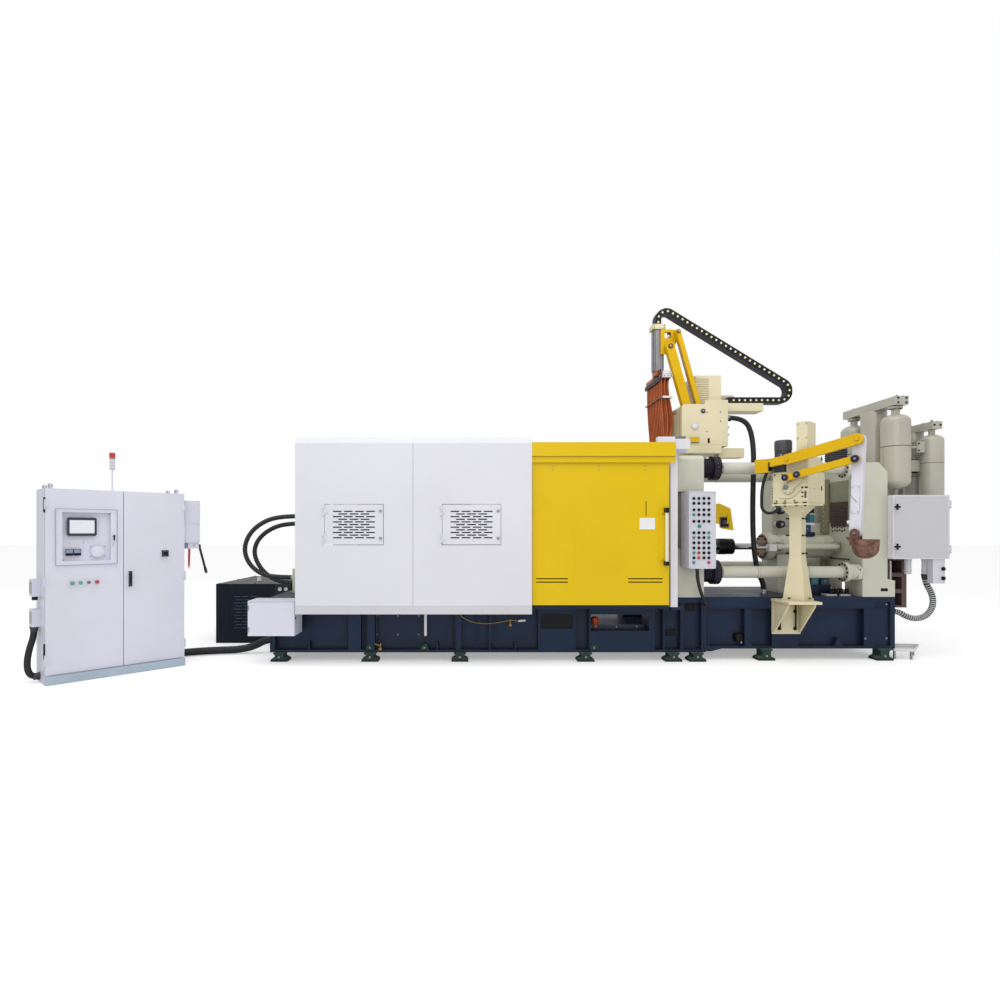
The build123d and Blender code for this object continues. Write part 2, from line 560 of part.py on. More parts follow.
# Rear guard: the same sheet guard and a closed yellow panel on the far side.
with BuildPart() as rear_guard:
    with BuildSketch(Plane.YZ.offset(GUARD_LEFT)):
        with BuildLine():
            Polyline(
                (-GUARD_FRONT, GUARD_BOTTOM),
                (-GUARD_FRONT, GUARD_TOP - 66),
                (-GUARD_FRONT - 32, GUARD_TOP),
                (-GUARD_FRONT - 110, GUARD_TOP),
                (-GUARD_FRONT - 110, GUARD_TOP - GUARD_SKIN),
                (-GUARD_FRONT - 36, GUARD_TOP - GUARD_SKIN),
                (-GUARD_FRONT - GUARD_SKIN, GUARD_TOP - 67),
                (-GUARD_FRONT - GUARD_SKIN, GUARD_BOTTOM + GUARD_SKIN),
                (CLAMP_BASE_HALF + SEAT_GAP, GUARD_BOTTOM + GUARD_SKIN),
                (CLAMP_BASE_HALF + SEAT_GAP, GUARD_BOTTOM),
                close=True,
            )
        make_face()
    extrude(amount=GUARD_RIGHT - GUARD_LEFT)
    block((GUARD_LEFT, GUARD_LEFT + GUARD_SKIN), (780, -GUARD_FRONT), (GUARD_BOTTOM, GUARD_TOP - 66))
    stiffener = (-GUARD_FRONT - GUARD_STIFFENER, -GUARD_FRONT)
    for post_x in (GUARD_LEFT + 20, GUARD_SEAM, GUARD_RIGHT - 20):
        block((post_x - 20, post_x + 20), stiffener, (GUARD_BOTTOM, GUARD_TOP - 70))
    for beam_z in (LOUVRE_BOTTOM - 60, LOUVRE_BOTTOM + LOUVRE_HEIGHT + 60, GUARD_TOP - 90):
        block((GUARD_LEFT, GUARD_RIGHT), stiffener, (beam_z - 18, beam_z + 18))
    block((GUARD_LEFT, GUARD_RIGHT), (CLAMP_BASE_HALF + SEAT_GAP, 1066), (GUARD_BOTTOM, SILL_TOP))
    block((GUARD_RIGHT - 40, DOOR_RIGHT), (1012, 1052), (DOOR_BOTTOM, 2491))
    block((GUARD_RIGHT - 40, GUARD_RIGHT), (1051, 1070), (DOOR_BOTTOM, GUARD_TOP - 100))
rear_guard.part.label = "rear_guard"
export_step(rear_guard.part, "parts/rear_guard.step")

# Sliding door: a pan with a rim and cross ribs behind, a bar handle, and two hangers on its top edge.
HANDLE_X = 1470.0
HANDLE_Z = (1156.0, 1733.0)
HANGER_X = (200.0, 1300.0)
RAIL_Z = 2400.0
WHEEL_DIAMETER = 56.0
with BuildPart() as sliding_door:
    door_back = DOOR_FRONT + DOOR_THICK
    block((DOOR_LEFT, DOOR_RIGHT), (DOOR_FRONT, door_back), (DOOR_BOTTOM, DOOR_TOP))
    mid_z = (DOOR_BOTTOM + DOOR_TOP) / 2
    for low, high in ((DOOR_BOTTOM + 40, mid_z - 30), (mid_z + 30, DOOR_TOP - 40)):
        for left, right in ((DOOR_LEFT + 40, 723), (783, DOOR_RIGHT - 40)):
            block((left, right), (DOOR_FRONT + 4, door_back + 1), (low, high), mode=Mode.SUBTRACT)
    for end_z in HANDLE_Z:
        block((HANDLE_X - 16, HANDLE_X + 16), (DOOR_FRONT - 40, DOOR_FRONT + 1), (end_z - 20, end_z + 20))
    rod_z((HANDLE_Z[0] - 20, HANDLE_Z[1] + 20), (HANDLE_X, DOOR_FRONT - 48), 30)
    for hanger_x in HANGER_X:
        block((hanger_x - 40, hanger_x + 40), (DOOR_FRONT + 12, DOOR_FRONT + 22), (DOOR_TOP - 1, RAIL_Z + 20))
        rod_y((DOOR_FRONT + 21, DOOR_FRONT + 36), (hanger_x, RAIL_Z), WHEEL_DIAMETER)
sliding_door.part.label = "sliding_door"
export_step(sliding_door.part, "parts/sliding_door.step")

# Door header: the cover over the hangers, with a fold line, and the rail that the hangers run on.
RAIL_LEFT = -1560.0
with BuildPart() as door_header:
    cover_front = GUARD_FRONT + 8
    cover_right = DOOR_RIGHT + 60
    with BuildSketch(Plane.YZ.offset(GUARD_RIGHT + SEAT_GAP)):
        with BuildLine():
            Polyline(
                (cover_front + 14, 2268),
                (cover_front + 14, 2324),
                (cover_front, 2338),
                (cover_front, 2491),
                (cover_front + 100, 2491),
                (cover_front + 100, 2485),
                (cover_front + 6, 2485),
                (cover_front + 6, 2340),
                (cover_front + 20, 2326),
                (cover_front + 20, 2268),
                close=True,
            )
        make_face()
    extrude(amount=cover_right - GUARD_RIGHT - SEAT_GAP)
    rail_y = (DOOR_FRONT + 20, DOOR_FRONT + 50)
    track_top = RAIL_Z - WHEEL_DIAMETER / 2 - SEAT_GAP
    block((RAIL_LEFT, cover_right), (DOOR_FRONT + 28, DOOR_FRONT + 44), (RAIL_Z - 48, track_top))
    block((RAIL_LEFT, cover_right), (DOOR_FRONT + 42, DOOR_FRONT + 50), (RAIL_Z - 48, RAIL_Z + 60))
    block((RAIL_LEFT, cover_right), (DOOR_FRONT + 10, DOOR_FRONT + 50), (RAIL_Z + 52, RAIL_Z + 60))
    for web_x in (0, 750, cover_right - 10):
        block((web_x, web_x + 10), (cover_front + 2, DOOR_FRONT + 50), (RAIL_Z + 54, 2490))
    for web_x in (RAIL_LEFT, -800, -100):
        block((web_x, web_x + 20), (DOOR_FRONT + 30, DOOR_FRONT + 50), (RAIL_Z + 50, GUARD_TOP - GUARD_SKIN - SEAT_GAP))
door_header.part.label = "door_header"
export_step(door_header.part, "parts/door_header.step")

# Guard posts at the shot end of the door, front and back, each with a bracket to the fixed platen.
with BuildPart() as guard_posts:
    for side in (-1, 1):
        post_y = sorted((side * POST_OUTER, side * (POST_OUTER - 80)))
        block(POST_X, post_y, (POST_BOTTOM, 2418))
        tie_y = sorted((side * POST_OUTER, side * (PLATEN_HALF_Y - 80)))
        block((1580, 1736), tie_y, (PLATEN_TOP, PLATEN_TOP + 22))
        front_y = sorted((side * 1066, side * 960))
        block((1575, 1736), front_y, (PLATEN_TOP + 22, 2530))
guard_posts.part.label = "guard_posts"
export_step(guard_posts.part, "parts/guard_posts.step")

# Operator panel: a slim box with a raised rim, on a bracket from the fixed platen.
PANEL_X = (1751.0, 2050.0)
PANEL_Z = (1090.0, 1955.0)
PANEL_Y = (-1005.0, -755.0)
with BuildPart() as operator_panel:
    block(PANEL_X, PANEL_Y, PANEL_Z)
    fillet(operator_panel.edges().filter_by(Axis.Y), 14)
    face_x = (PANEL_X[0] + 12, PANEL_X[1] - 12)
    face_z = (PANEL_Z[0] + 12, PANEL_Z[1] - 12)
    block(face_x, (PANEL_Y[0] - 1, PANEL_Y[0] + 4), face_z, mode=Mode.SUBTRACT)
    for arm_z in (PANEL_Z[0] + 180, PANEL_Z[1] - 180):
        arm_y = (PANEL_Y[1] - 1, -PLATEN_HALF_Y - SEAT_GAP)
        block((PANEL_X[0] + 30, PANEL_X[0] + 230), arm_y, (arm_z - 30, arm_z + 30))
operator_panel.part.label = "operator_panel"
export_step(operator_panel.part, "parts/operator_panel.step")

# Shot frame rods: four bars from the tie-bar ends to the end plate, with a bolted ring at the plate.
with BuildPart() as shot_frame_rods:
    for place in TIE_PLACES:
        rod_x((NUT_END - 59, END_PLATE_LEFT - SEAT_GAP), place, ROD_DIAMETER - 2 * SEAT_GAP)
        rod_x((3730, 3775), place, 232)
        rod_x((3775, END_PLATE_LEFT - SEAT_GAP), place, 188)
shot_frame_rods.part.label = "shot_frame_rods"
export_step(shot_frame_rods.part, "parts/shot_frame_rods.step")

# End plate: a thick plate with a cut corner at the top, a stepped foot and a bore for the shot cylinder.
with BuildPart() as shot_end_plate:
    with BuildSketch(Plane.XZ.offset(-SHOT_BASE_HALF)):
        with BuildLine():
            Polyline(
                (END_PLATE_LEFT, BASE_TOP),
                (SHOT_BASE_RIGHT, BASE_TOP),
                (SHOT_BASE_RIGHT, 930),
                (END_PLATE_RIGHT, 945),
                (END_PLATE_RIGHT, END_PLATE_TOP - 110),
                (END_PLATE_RIGHT - 100, END_PLATE_TOP),
                (END_PLATE_LEFT, END_PLATE_TOP),
                close=True,
            )
        make_face()
    extrude(amount=2 * SHOT_BASE_HALF)
    block((END_PLATE_LEFT - 1, SHOT_BASE_RIGHT + 1), (-330, 330), (BASE_TOP - 1, 1020), mode=Mode.SUBTRACT)
    rod_x((END_PLATE_LEFT - 1, END_PLATE_RIGHT + 1), (0, SHOT_Z), SHOT_BODY_DIAMETER + 2 * SEAT_GAP, mode=Mode.SUBTRACT)
    block((END_PLATE_LEFT - 1, END_PLATE_RIGHT + 1), (-330, 330), (1620, 2120), mode=Mode.SUBTRACT)
shot_end_plate.part.label = "shot_end_plate"
export_step(shot_end_plate.part, "parts/shot_end_plate.step")

# Shot cylinder: a turned barrel with a front flange, a clamp collar and a saddle down to the base.
with BuildPart() as shot_cylinder:
    with BuildSketch(Plane.XZ):
        with BuildLine():
            Polyline(
                (SHOT_FLANGE_LEFT, SHOT_Z),
                (SHOT_FLANGE_LEFT, SHOT_Z + 160),
                (SHOT_FLANGE_LEFT + 15, SHOT_Z + 174),
                (SHOT_FLANGE_RIGHT, SHOT_Z + 174),
                (SHOT_FLANGE_RIGHT, SHOT_Z + SHOT_BODY_DIAMETER / 2),
                (END_PLATE_RIGHT + 60, SHOT_Z + SHOT_BODY_DIAMETER / 2),
                (END_PLATE_RIGHT + 60, SHOT_Z),
                close=True,
            )
        make_face()
    revolve(axis=Axis((0, 0, SHOT_Z), (1, 0, 0)))
    rod_x((SHOT_FLANGE_LEFT - 1, END_PLATE_RIGHT), (0, SHOT_Z), SHOT_ROD_DIAMETER + 2 * PIN_GAP, mode=Mode.SUBTRACT)
    block((3190, 3420), (-130, 130), (BASE_TOP, SHOT_Z - 100))
    block((3170, 3440), (-220, 220), (BASE_TOP, BASE_TOP + 40))
    for clamp_x in (3180, 3860):
        block((clamp_x, clamp_x + 40), (-250, -120), (SHOT_Z - 55, SHOT_Z + 55))
    rod_x((3120, 3890), (-235, SHOT_Z), 74)
shot_cylinder.part.label = "shot_cylinder"
export_step(shot_cylinder.part, "parts/shot_cylinder.step")

# Shot rod: the plunger rod with its coupling, which slides in the cylinder.
SHOT_ROD_END = 3700.0
with BuildPart() as shot_rod:
    with BuildSketch(Plane.XZ):
        with BuildLine():
            Polyline(
                (COUPLING_LEFT - 130, SHOT_Z),
                (COUPLING_LEFT - 130, SHOT_Z + 48),
                (COUPLING_LEFT, SHOT_Z + 48),
                (COUPLING_LEFT + 20, SHOT_Z + 100),
                (COUPLING_LEFT + 85, SHOT_Z + 100),
                (COUPLING_LEFT + 92, SHOT_Z + 78),
                (COUPLING_LEFT + 106, SHOT_Z + 78),
                (COUPLING_LEFT + 113, SHOT_Z + 100),
                (COUPLING_RIGHT - 15, SHOT_Z + 100),
                (COUPLING_RIGHT, SHOT_Z + 70),
                (COUPLING_RIGHT, SHOT_Z + SHOT_ROD_DIAMETER / 2),
                (SHOT_ROD_END, SHOT_Z + SHOT_ROD_DIAMETER / 2),
                (SHOT_ROD_END, SHOT_Z),
                close=True,
            )
        make_face()
    revolve(axis=Axis((0, 0, SHOT_Z), (1, 0, 0)))
shot_rod.part.label = "shot_rod"
export_step(shot_rod.part, "parts/shot_rod.step")

# Shot manifold: an upright valve block behind the cylinder with a deep window, two valves and a motor box.
with BuildPart() as shot_manifold:
    block((3300, 3700), (230, 490), (BASE_TOP, 2180))
    block((3430, 3620), (229, 320), (1560, 1960), mode=Mode.SUBTRACT)
    block((3420, 3700), (230, 470), (2180, 2420))
    rod_y((150, 231), (3365, 1780), 90)
    rod_y((150, 231), (3365, 1600), 90)
    block((3330, 3430), (180, 231), (1240, 1420))
shot_manifold.part.label = "shot_manifold"
export_step(shot_manifold.part, "parts/shot_manifold.step")


def bottle_profile(centre_x, radius, low, high, neck_length):
    """Half of a pressure bottle's outline: nipple, domed ends, straight wall and a neck on top."""
    dome = radius * 0.62
    with BuildLine() as outline:
        base = EllipticalCenterArc((centre_x, low + dome), radius, dome, start_angle=-82, arc_size=82)
        nipple_x = (base @ 0).X
        low_end = Line((centre_x, low - 70), (nipple_x, low - 70))
        Line(low_end @ 1, base @ 0)
        crown = EllipticalCenterArc((centre_x, high - dome), radius, dome, start_angle=0, arc_size=72)
        Line(base @ 1, crown @ 0)
        neck = Line((centre_x + radius * 0.28, high + 2), (centre_x + radius * 0.28, high + neck_length))
        Line(crown @ 1, neck @ 0)
        top = Line(neck @ 1, (centre_x, high + neck_length))
        Line(top @ 1, low_end @ 0)
    make_face(outline.edges())


# Accumulator bottles: a large pair and a small pair, each with a straight cylinder between the two.
BOTTLE_LOW = 2020.0
BOTTLE_HIGH = 2935.0
BOTTLE_NECK = 95.0
BOOST_NECK = 60.0
CYLINDER_DIAMETER = 290.0
BOOST_CYLINDER = 220.0
BOOST_LOW = 1800.0
BOOST_HIGH = 2700.0
LOWER_BLOCK_TOP = 1720.0
with BuildPart() as accumulator_bottles:
    for y in (-BOTTLE_PITCH, BOTTLE_PITCH):
        with BuildSketch(Plane.XZ.offset(-y)):
            bottle_profile(BOTTLE_X, BOTTLE_DIAMETER / 2, BOTTLE_LOW, BOTTLE_HIGH, BOTTLE_NECK)
        revolve(axis=Axis((BOTTLE_X, y, 0), (0, 0, 1)))
    rod_z((LOWER_BLOCK_TOP + SEAT_GAP, BOTTLE_HIGH + BOTTLE_NECK), (BOTTLE_X, 0), CYLINDER_DIAMETER)
    for y in (-BOOST_PITCH, BOOST_PITCH):
        with BuildSketch(Plane.XZ.offset(-y)):
            bottle_profile(BOOST_X, BOOST_DIAMETER / 2, BOOST_LOW, BOOST_HIGH, BOOST_NECK)
        revolve(axis=Axis((BOOST_X, y, 0), (0, 0, 1)))
    rod_z((LOWER_BLOCK_TOP + SEAT_GAP, BOOST_HIGH + BOOST_NECK), (BOOST_X, 0), BOOST_CYLINDER)
accumulator_bottles.part.label = "accumulator_bottles"
export_step(accumulator_bottles.part, "parts/accumulator_bottles.step")

# Accumulator manifolds: the blocks over and under the bottles, and the carrier from the end plate.
with BuildPart() as accumulator_manifolds:
    big_top = BOTTLE_HIGH + BOTTLE_NECK + SEAT_GAP
    boost_top = BOOST_HIGH + BOOST_NECK + SEAT_GAP
    big_half = BOTTLE_PITCH + 110
    boost_half = BOOST_PITCH + 90
    block((BOTTLE_X - 80, BOTTLE_X + 80), (-big_half, big_half), (big_top, big_top + 105))
    block((BOOST_X - 60, BOOST_X + 60), (-boost_half, boost_half), (boost_top, boost_top + 90))
    block((END_PLATE_RIGHT + SEAT_GAP, BOOST_X + 125), (-200, 200), (LOWER_BLOCK_TOP - 180, LOWER_BLOCK_TOP))
    block((END_PLATE_RIGHT + SEAT_GAP, END_PLATE_RIGHT + 40), (-420, 420), (1500, 2150))
accumulator_manifolds.part.label = "accumulator_manifolds"
export_step(accumulator_manifolds.part, "parts/accumulator_manifolds.step")

# Terminal box on the end plate's front corner, open to the front for its door.
BOX_X = (END_PLATE_RIGHT + 1, END_PLATE_RIGHT + 661)
BOX_Y = (-750.0, -500.0)
BOX_Z = (1187.0, 1929.0)
BOX_WALL = 4.0
BOX_DOOR = 22.0
FITTING_X = (BOX_X[0] + 312, BOX_X[0] + 517)
FITTING_Y = -560.0
FITTING_LENGTH = 187.0
FITTING_DIAMETER = 70.0
BOX_HINGE = (BOX_X[1] + HINGE_SIDE, BOX_Y[0] - HINGE_OUT)
BOX_HINGES = (BOX_Z[0] + 110, BOX_Z[1] - 110)
with BuildPart() as terminal_box:
    block(BOX_X, (BOX_Y[0] + BOX_DOOR + 3, BOX_Y[1]), BOX_Z)
    inner_x = (BOX_X[0] + BOX_WALL, BOX_X[1] - BOX_WALL)
    inner_z = (BOX_Z[0] + BOX_WALL, BOX_Z[1] - BOX_WALL)
    block(inner_x, (BOX_Y[0], BOX_Y[1] - BOX_WALL), inner_z, mode=Mode.SUBTRACT)
    block((END_PLATE_RIGHT + SEAT_GAP, BOX_X[0] + 212), (BOX_Y[1] - 1, -440), (1300, 1800))
    block((BOX_X[1] - 178, BOX_X[1] - 38), (BOX_Y[0] + BOX_DOOR + 3, -640), (900, BOX_Z[0] + 1))
    for fitting_x in FITTING_X:
        rod_z((BOX_Z[0] - FITTING_LENGTH, BOX_Z[0] + 1), (fitting_x, FITTING_Y), FITTING_DIAMETER)
    leaf_y = (BOX_HINGE[1], BOX_HINGE[1] + 80)
    hinge_pins(BOX_HINGE, (BOX_X[1] - 1, BOX_HINGE[0] + 6), leaf_y, BOX_HINGES)
terminal_box.part.label = "terminal_box"
export_step(terminal_box.part, "parts/terminal_box.step")

# Terminal box door, hinged on its right edge, with two latch knobs on the left.
with BuildPart() as terminal_box_door:
    block((BOX_X[0] + 2, BOX_X[1] - 3), (BOX_Y[0], BOX_Y[0] + BOX_DOOR), BOX_Z)
    pan_x = (BOX_X[0] + 18, BOX_X[1] - 18)
    pan_z = (BOX_Z[0] + 18, BOX_Z[1] - 18)
    block(pan_x, (BOX_Y[0] + 4, BOX_Y[0] + BOX_DOOR + 1), pan_z, mode=Mode.SUBTRACT)
    hinge_knuckles(BOX_HINGE, (BOX_X[1] - 30, BOX_HINGE[0]), (BOX_Y[0] - 8, BOX_Y[0] + 1), BOX_HINGES)
    for knob_z in (1330, 1790):
        rod_y((BOX_Y[0] - 22, BOX_Y[0] + 5), (BOX_X[0] + 30, knob_z), 44)
terminal_box_door.part.label = "terminal_box_door"
export_step(terminal_box_door.part, "parts/terminal_box_door.step")

# Ladler bracket: a plate bolted to the shot base, two gussets and a level top plate.
BRACKET_X = (2845.0, 3172.0)
with BuildPart() as ladler_bracket:
    bracket_face = -SHOT_BASE_HALF - SEAT_GAP
    block(BRACKET_X, (bracket_face - 25, bracket_face), (308, LADLER_PLATE_TOP - 10))
    block((2838, 3205), (-1060, bracket_face), (LADLER_PLATE_TOP - 28, LADLER_PLATE_TOP))
    for gusset_x in (BRACKET_X[0] + 10, BRACKET_X[1] - 20):
        with BuildSketch(Plane.YZ.offset(gusset_x)):
            with BuildLine():
                Polyline(
                    (bracket_face, 320),
                    (bracket_face, LADLER_PLATE_TOP - 27),
                    (-1000, LADLER_PLATE_TOP - 27),
                    (-1000, LADLER_PLATE_TOP - 60),
                    (bracket_face - 26, 320),
                    close=True,
                )
            make_face()
        extrude(amount=18)
ladler_bracket.part.label = "ladler_bracket"
export_step(ladler_bracket.part, "parts/ladler_bracket.step")

# Ladler column: a square tube that flares to its foot and to its head plate.
FLARE_TOP = 1215.0
FOOT_SIZE = 228.0
HEAD_FLARE = (290.0, 270.0)
HEAD_PLATE = ((-197.0, 190.0), (-215.0, 215.0))
COLUMN_TOP = HEAD_BOTTOM - 22.0
with BuildPart() as ladler_column:
    with BuildSketch(LADLER_PLANE.offset(LADLER_PLATE_TOP + 20)):
        with Locations((COLUMN_U, 0)):
            Rectangle(FOOT_SIZE, FOOT_SIZE)
    with BuildSketch(LADLER_PLANE.offset(FLARE_TOP)):
        with Locations((COLUMN_U, 0)):
            Rectangle(COLUMN_SIZE, COLUMN_SIZE)
    loft()
    with BuildSketch(LADLER_PLANE.offset(FLARE_TOP)):
        with Locations((COLUMN_U, 0)):
            Rectangle(COLUMN_SIZE, COLUMN_SIZE)
    extrude(amount=COLUMN_TOP - 110 - FLARE_TOP)
    with BuildSketch(LADLER_PLANE.offset(COLUMN_TOP - 110)):
        with Locations((COLUMN_U, 0)):
            Rectangle(COLUMN_SIZE, COLUMN_SIZE)
    with BuildSketch(LADLER_PLANE.offset(COLUMN_TOP)):
        with Locations((COLUMN_U, 0)):
            Rectangle(*HEAD_FLARE)
    loft()
    with BuildSketch(LADLER_PLANE.offset(LADLER_PLATE_TOP)):
        with Locations((COLUMN_U, 0)):
            Rectangle(FOOT_SIZE + 20, FOOT_SIZE + 20)
    extrude(amount=20)
    with BuildSketch(LADLER_PLANE.offset(COLUMN_TOP)):
        with Locations((sum(HEAD_PLATE[0]) / 2, sum(HEAD_PLATE[1]) / 2)):
            Rectangle(HEAD_PLATE[0][1] - HEAD_PLATE[0][0], HEAD_PLATE[1][1] - HEAD_PLATE[1][0])
    extrude(amount=HEAD_BOTTOM - COLUMN_TOP)
ladler_column.part.label = "ladler_column"
export_step(ladler_column.part, "parts/ladler_column.step")

# Ladler head: gear case, cable tower and a fixed crank plate, with the two arm pivots.
HEAD_STEP = -45.0
HEAD_SHOULDER = 2176.0
with BuildPart(LADLER_PLANE) as ladler_head:
    block((-191, 180), (HEAD_FRONT, 280), (HEAD_BOTTOM, HEAD_SHOULDER))
    block((HEAD_STEP, 180), (HEAD_FRONT, 222), (HEAD_SHOULDER - 1, 2345))
    block((61, 180), (HEAD_FRONT, 16), (2344, 2722))
    block((60, 90), (HEAD_FRONT - 1, -60), (2480, 2640), mode=Mode.SUBTRACT)
    with BuildSketch(upright(LADLER_PLANE, HEAD_FRONT + 1)):
        bar_between((-23, 1985), (95, 2085), 76)
    extrude(amount=26)
    for pivot in (PIVOT_UPPER, PIVOT_LOWER):
        with BuildSketch(upright(LADLER_PLANE, HEAD_FRONT + 1)):
            with Locations(pivot):
                Circle(PIN_DIAMETER)
        extrude(amount=HEAD_FRONT + 1 - ARM_BACK - RUN_GAP)
        with BuildSketch(upright(LADLER_PLANE, HEAD_FRONT + 1)):
            with Locations(pivot):
                Circle(PIN_DIAMETER / 2)
        extrude(amount=HEAD_FRONT + 1 - ARM_FRONT + 12)
ladler_head.part.label = "ladler_head"
export_step(ladler_head.part, "parts/ladler_head.step")

# Ladler motor standing on the gear case.
MOTOR_FLANGE = 196.0
MOTOR_BODY = 170.0
with BuildPart(LADLER_PLANE) as ladler_motor:
    motor_place = (HEAD_STEP - MOTOR_FLANGE / 2 - SEAT_GAP, -44)
    rod_z((HEAD_SHOULDER + SEAT_GAP, 2200), motor_place, MOTOR_FLANGE)
    rod_z((2199, 2440), motor_place, MOTOR_BODY)
    rod_z((2439, 2555), motor_place, 186)
    fillet(ladler_motor.edges().sort_by(Axis.Z)[-1], 24)
ladler_motor.part.label = "ladler_motor"
export_step(ladler_motor.part, "parts/ladler_motor.step")

# Upper arm: a bent bar with a square block at its short end.
with BuildPart() as ladler_upper_arm:
    with BuildSketch(upright(LADLER_PLANE, ARM_BACK)):
        bar_between((-230, 2280), PIVOT_UPPER, 92)
        bar_between(PIVOT_UPPER, DROP_UPPER, 112)
        with Locations((-273, 2255)):
            Rectangle(154, 154)
        for pivot in (PIVOT_UPPER, DROP_UPPER):
            with Locations(pivot):
                Circle(PIN_DIAMETER / 2 + PIN_GAP, mode=Mode.SUBTRACT)
    extrude(amount=ARM_BACK - ARM_FRONT)
ladler_upper_arm.part.label = "ladler_upper_arm"
export_step(ladler_upper_arm.part, "parts/ladler_upper_arm.step")

# Lower arm: a straight bar below the upper one.
with BuildPart() as ladler_lower_arm:
    with BuildSketch(upright(LADLER_PLANE, ARM_BACK)):
        bar_between(PIVOT_LOWER, DROP_LOWER, 74)
        for pivot in (PIVOT_LOWER, DROP_LOWER):
            with Locations(pivot):
                Circle(PIN_DIAMETER / 2 + PIN_GAP, mode=Mode.SUBTRACT)
    extrude(amount=ARM_BACK - ARM_FRONT)
ladler_lower_arm.part.label = "ladler_lower_arm"
export_step(ladler_lower_arm.part, "parts/ladler_lower_arm.step")

# Drop arm: a long box that hangs from the two arms and carries the ladle.
DROP_FRONT = ARM_BACK + RUN_GAP + 4
DROP_BACK = DROP_FRONT + 60
with BuildPart() as ladler_drop_arm:
    with BuildSketch(upright(LADLER_PLANE, DROP_BACK)):
        bar_between(DROP_UPPER, (DROP_LOWER[0] + 5, DROP_LOWER[1] - 60), 110)
        bar_between((DROP_LOWER[0] + 5, DROP_LOWER[1] - 60), LADLE_PIVOT, 104)
        with Locations(LADLE_PIVOT):
            Circle(PIN_DIAMETER / 2 + PIN_GAP, mode=Mode.SUBTRACT)
    extrude(amount=DROP_BACK - DROP_FRONT)
    for pivot in (DROP_UPPER, DROP_LOWER):
        with BuildSketch(upright(LADLER_PLANE, DROP_FRONT + 1)):
            with Locations(pivot):
                Circle(PIN_DIAMETER / 2)
        extrude(amount=DROP_FRONT + 1 - ARM_FRONT + 12)
ladler_drop_arm.part.label = "ladler_drop_arm"
export_step(ladler_drop_arm.part, "parts/ladler_drop_arm.step")

# Ladle: a cast cup with a pouring lip, hung under the drop arm by two lugs and a pin.
CUP_U = 731.0
CUP_V = (DROP_FRONT + DROP_BACK) / 2
CUP_RADIUS = 125.0
CUP_WALL = 14.0
CUP_RIM = 1425.0
CUP_BOTTOM = 1225.0
LUG_THICK = 12.0
LIP_HALF = 22.0
LUG_BACK = [DROP_FRONT - RUN_GAP, DROP_BACK + RUN_GAP + LUG_THICK]
with BuildPart() as ladle:
    cup_plane = upright(LADLER_PLANE, CUP_V)
    cup_axis = Axis(LADLER_PLANE.from_local_coords((CUP_U, CUP_V, 0)), (0, 0, 1))
    with BuildSketch(cup_plane):
        with BuildLine():
            outer = ThreePointArc(
                (CUP_U, CUP_BOTTOM),
                (CUP_U + 84, CUP_BOTTOM + 34),
                (CUP_U + CUP_RADIUS - 6, CUP_BOTTOM + 112),
            )
            wall = Line(outer @ 1, (CUP_U + CUP_RADIUS, CUP_RIM))
            rim = Line(wall @ 1, (CUP_U, CUP_RIM))
            Line(rim @ 1, outer @ 0)
        make_face()
    revolve(axis=cup_axis)
    for back in LUG_BACK:
        with BuildSketch(upright(LADLER_PLANE, back)):
            with BuildLine():
                Polyline(
                    (LADLE_PIVOT[0] - 45, LADLE_PIVOT[1]),
                    (LADLE_PIVOT[0] + 45, LADLE_PIVOT[1]),
                    (LADLE_PIVOT[0] + 45, CUP_RIM - 1),
                    (LADLE_PIVOT[0] - 5, CUP_RIM - 65),
                    (LADLE_PIVOT[0] - 45, CUP_RIM - 65),
                    close=True,
                )
            make_face()
            with Locations(LADLE_PIVOT):
                Circle(45)
        extrude(amount=LUG_THICK)
    with BuildSketch(upright(LADLER_PLANE, CUP_V + LIP_HALF)):
        with BuildLine():
            Polyline(
                (CUP_U - 115, CUP_RIM - 30),
                (CUP_U - 115, CUP_RIM),
                (CUP_U - 170, CUP_RIM + 25),
                (CUP_U - 175, CUP_RIM + 15),
                (CUP_U - 131, CUP_RIM - 35),
                close=True,
            )
        make_face()
    extrude(amount=2 * LIP_HALF)
    with BuildSketch(upright(LADLER_PLANE, LUG_BACK[1] + 8)):
        with Locations(LADLE_PIVOT):
            Circle(PIN_DIAMETER / 2)
    extrude(amount=LUG_BACK[1] - LUG_BACK[0] + LUG_THICK + 16)
    with BuildSketch(cup_plane):
        with BuildLine():
            low = ThreePointArc(
                (CUP_U, CUP_BOTTOM + CUP_WALL),
                (CUP_U + 72, CUP_BOTTOM + 46),
                (CUP_U + CUP_RADIUS - 6 - CUP_WALL, CUP_BOTTOM + 114),
            )
            side = Line(low @ 1, (CUP_U + CUP_RADIUS - CUP_WALL, CUP_RIM + 1))
            top = Line(side @ 1, (CUP_U, CUP_RIM + 1))
            Line(top @ 1, low @ 0)
        make_face()
    revolve(axis=cup_axis, mode=Mode.SUBTRACT)
ladle.part.label = "ladle"
export_step(ladle.part, "parts/ladle.step")

# Sprayer beam: the seat plate on the fixed platen and a rail that reaches past it.
BEAM_TOP = 2550.0
with BuildPart() as sprayer_beam:
    block((1744, 2365), (-420, 200), (PLATEN_TOP + 60, BEAM_TOP))
    block((1790, 2020), (-380, 160), (PLATEN_TOP, PLATEN_TOP + 61))
    block((2364, 2680), (-330, -180), (PLATEN_TOP + 20, BEAM_TOP - 20))
sprayer_beam.part.label = "sprayer_beam"
export_step(sprayer_beam.part, "parts/sprayer_beam.step")

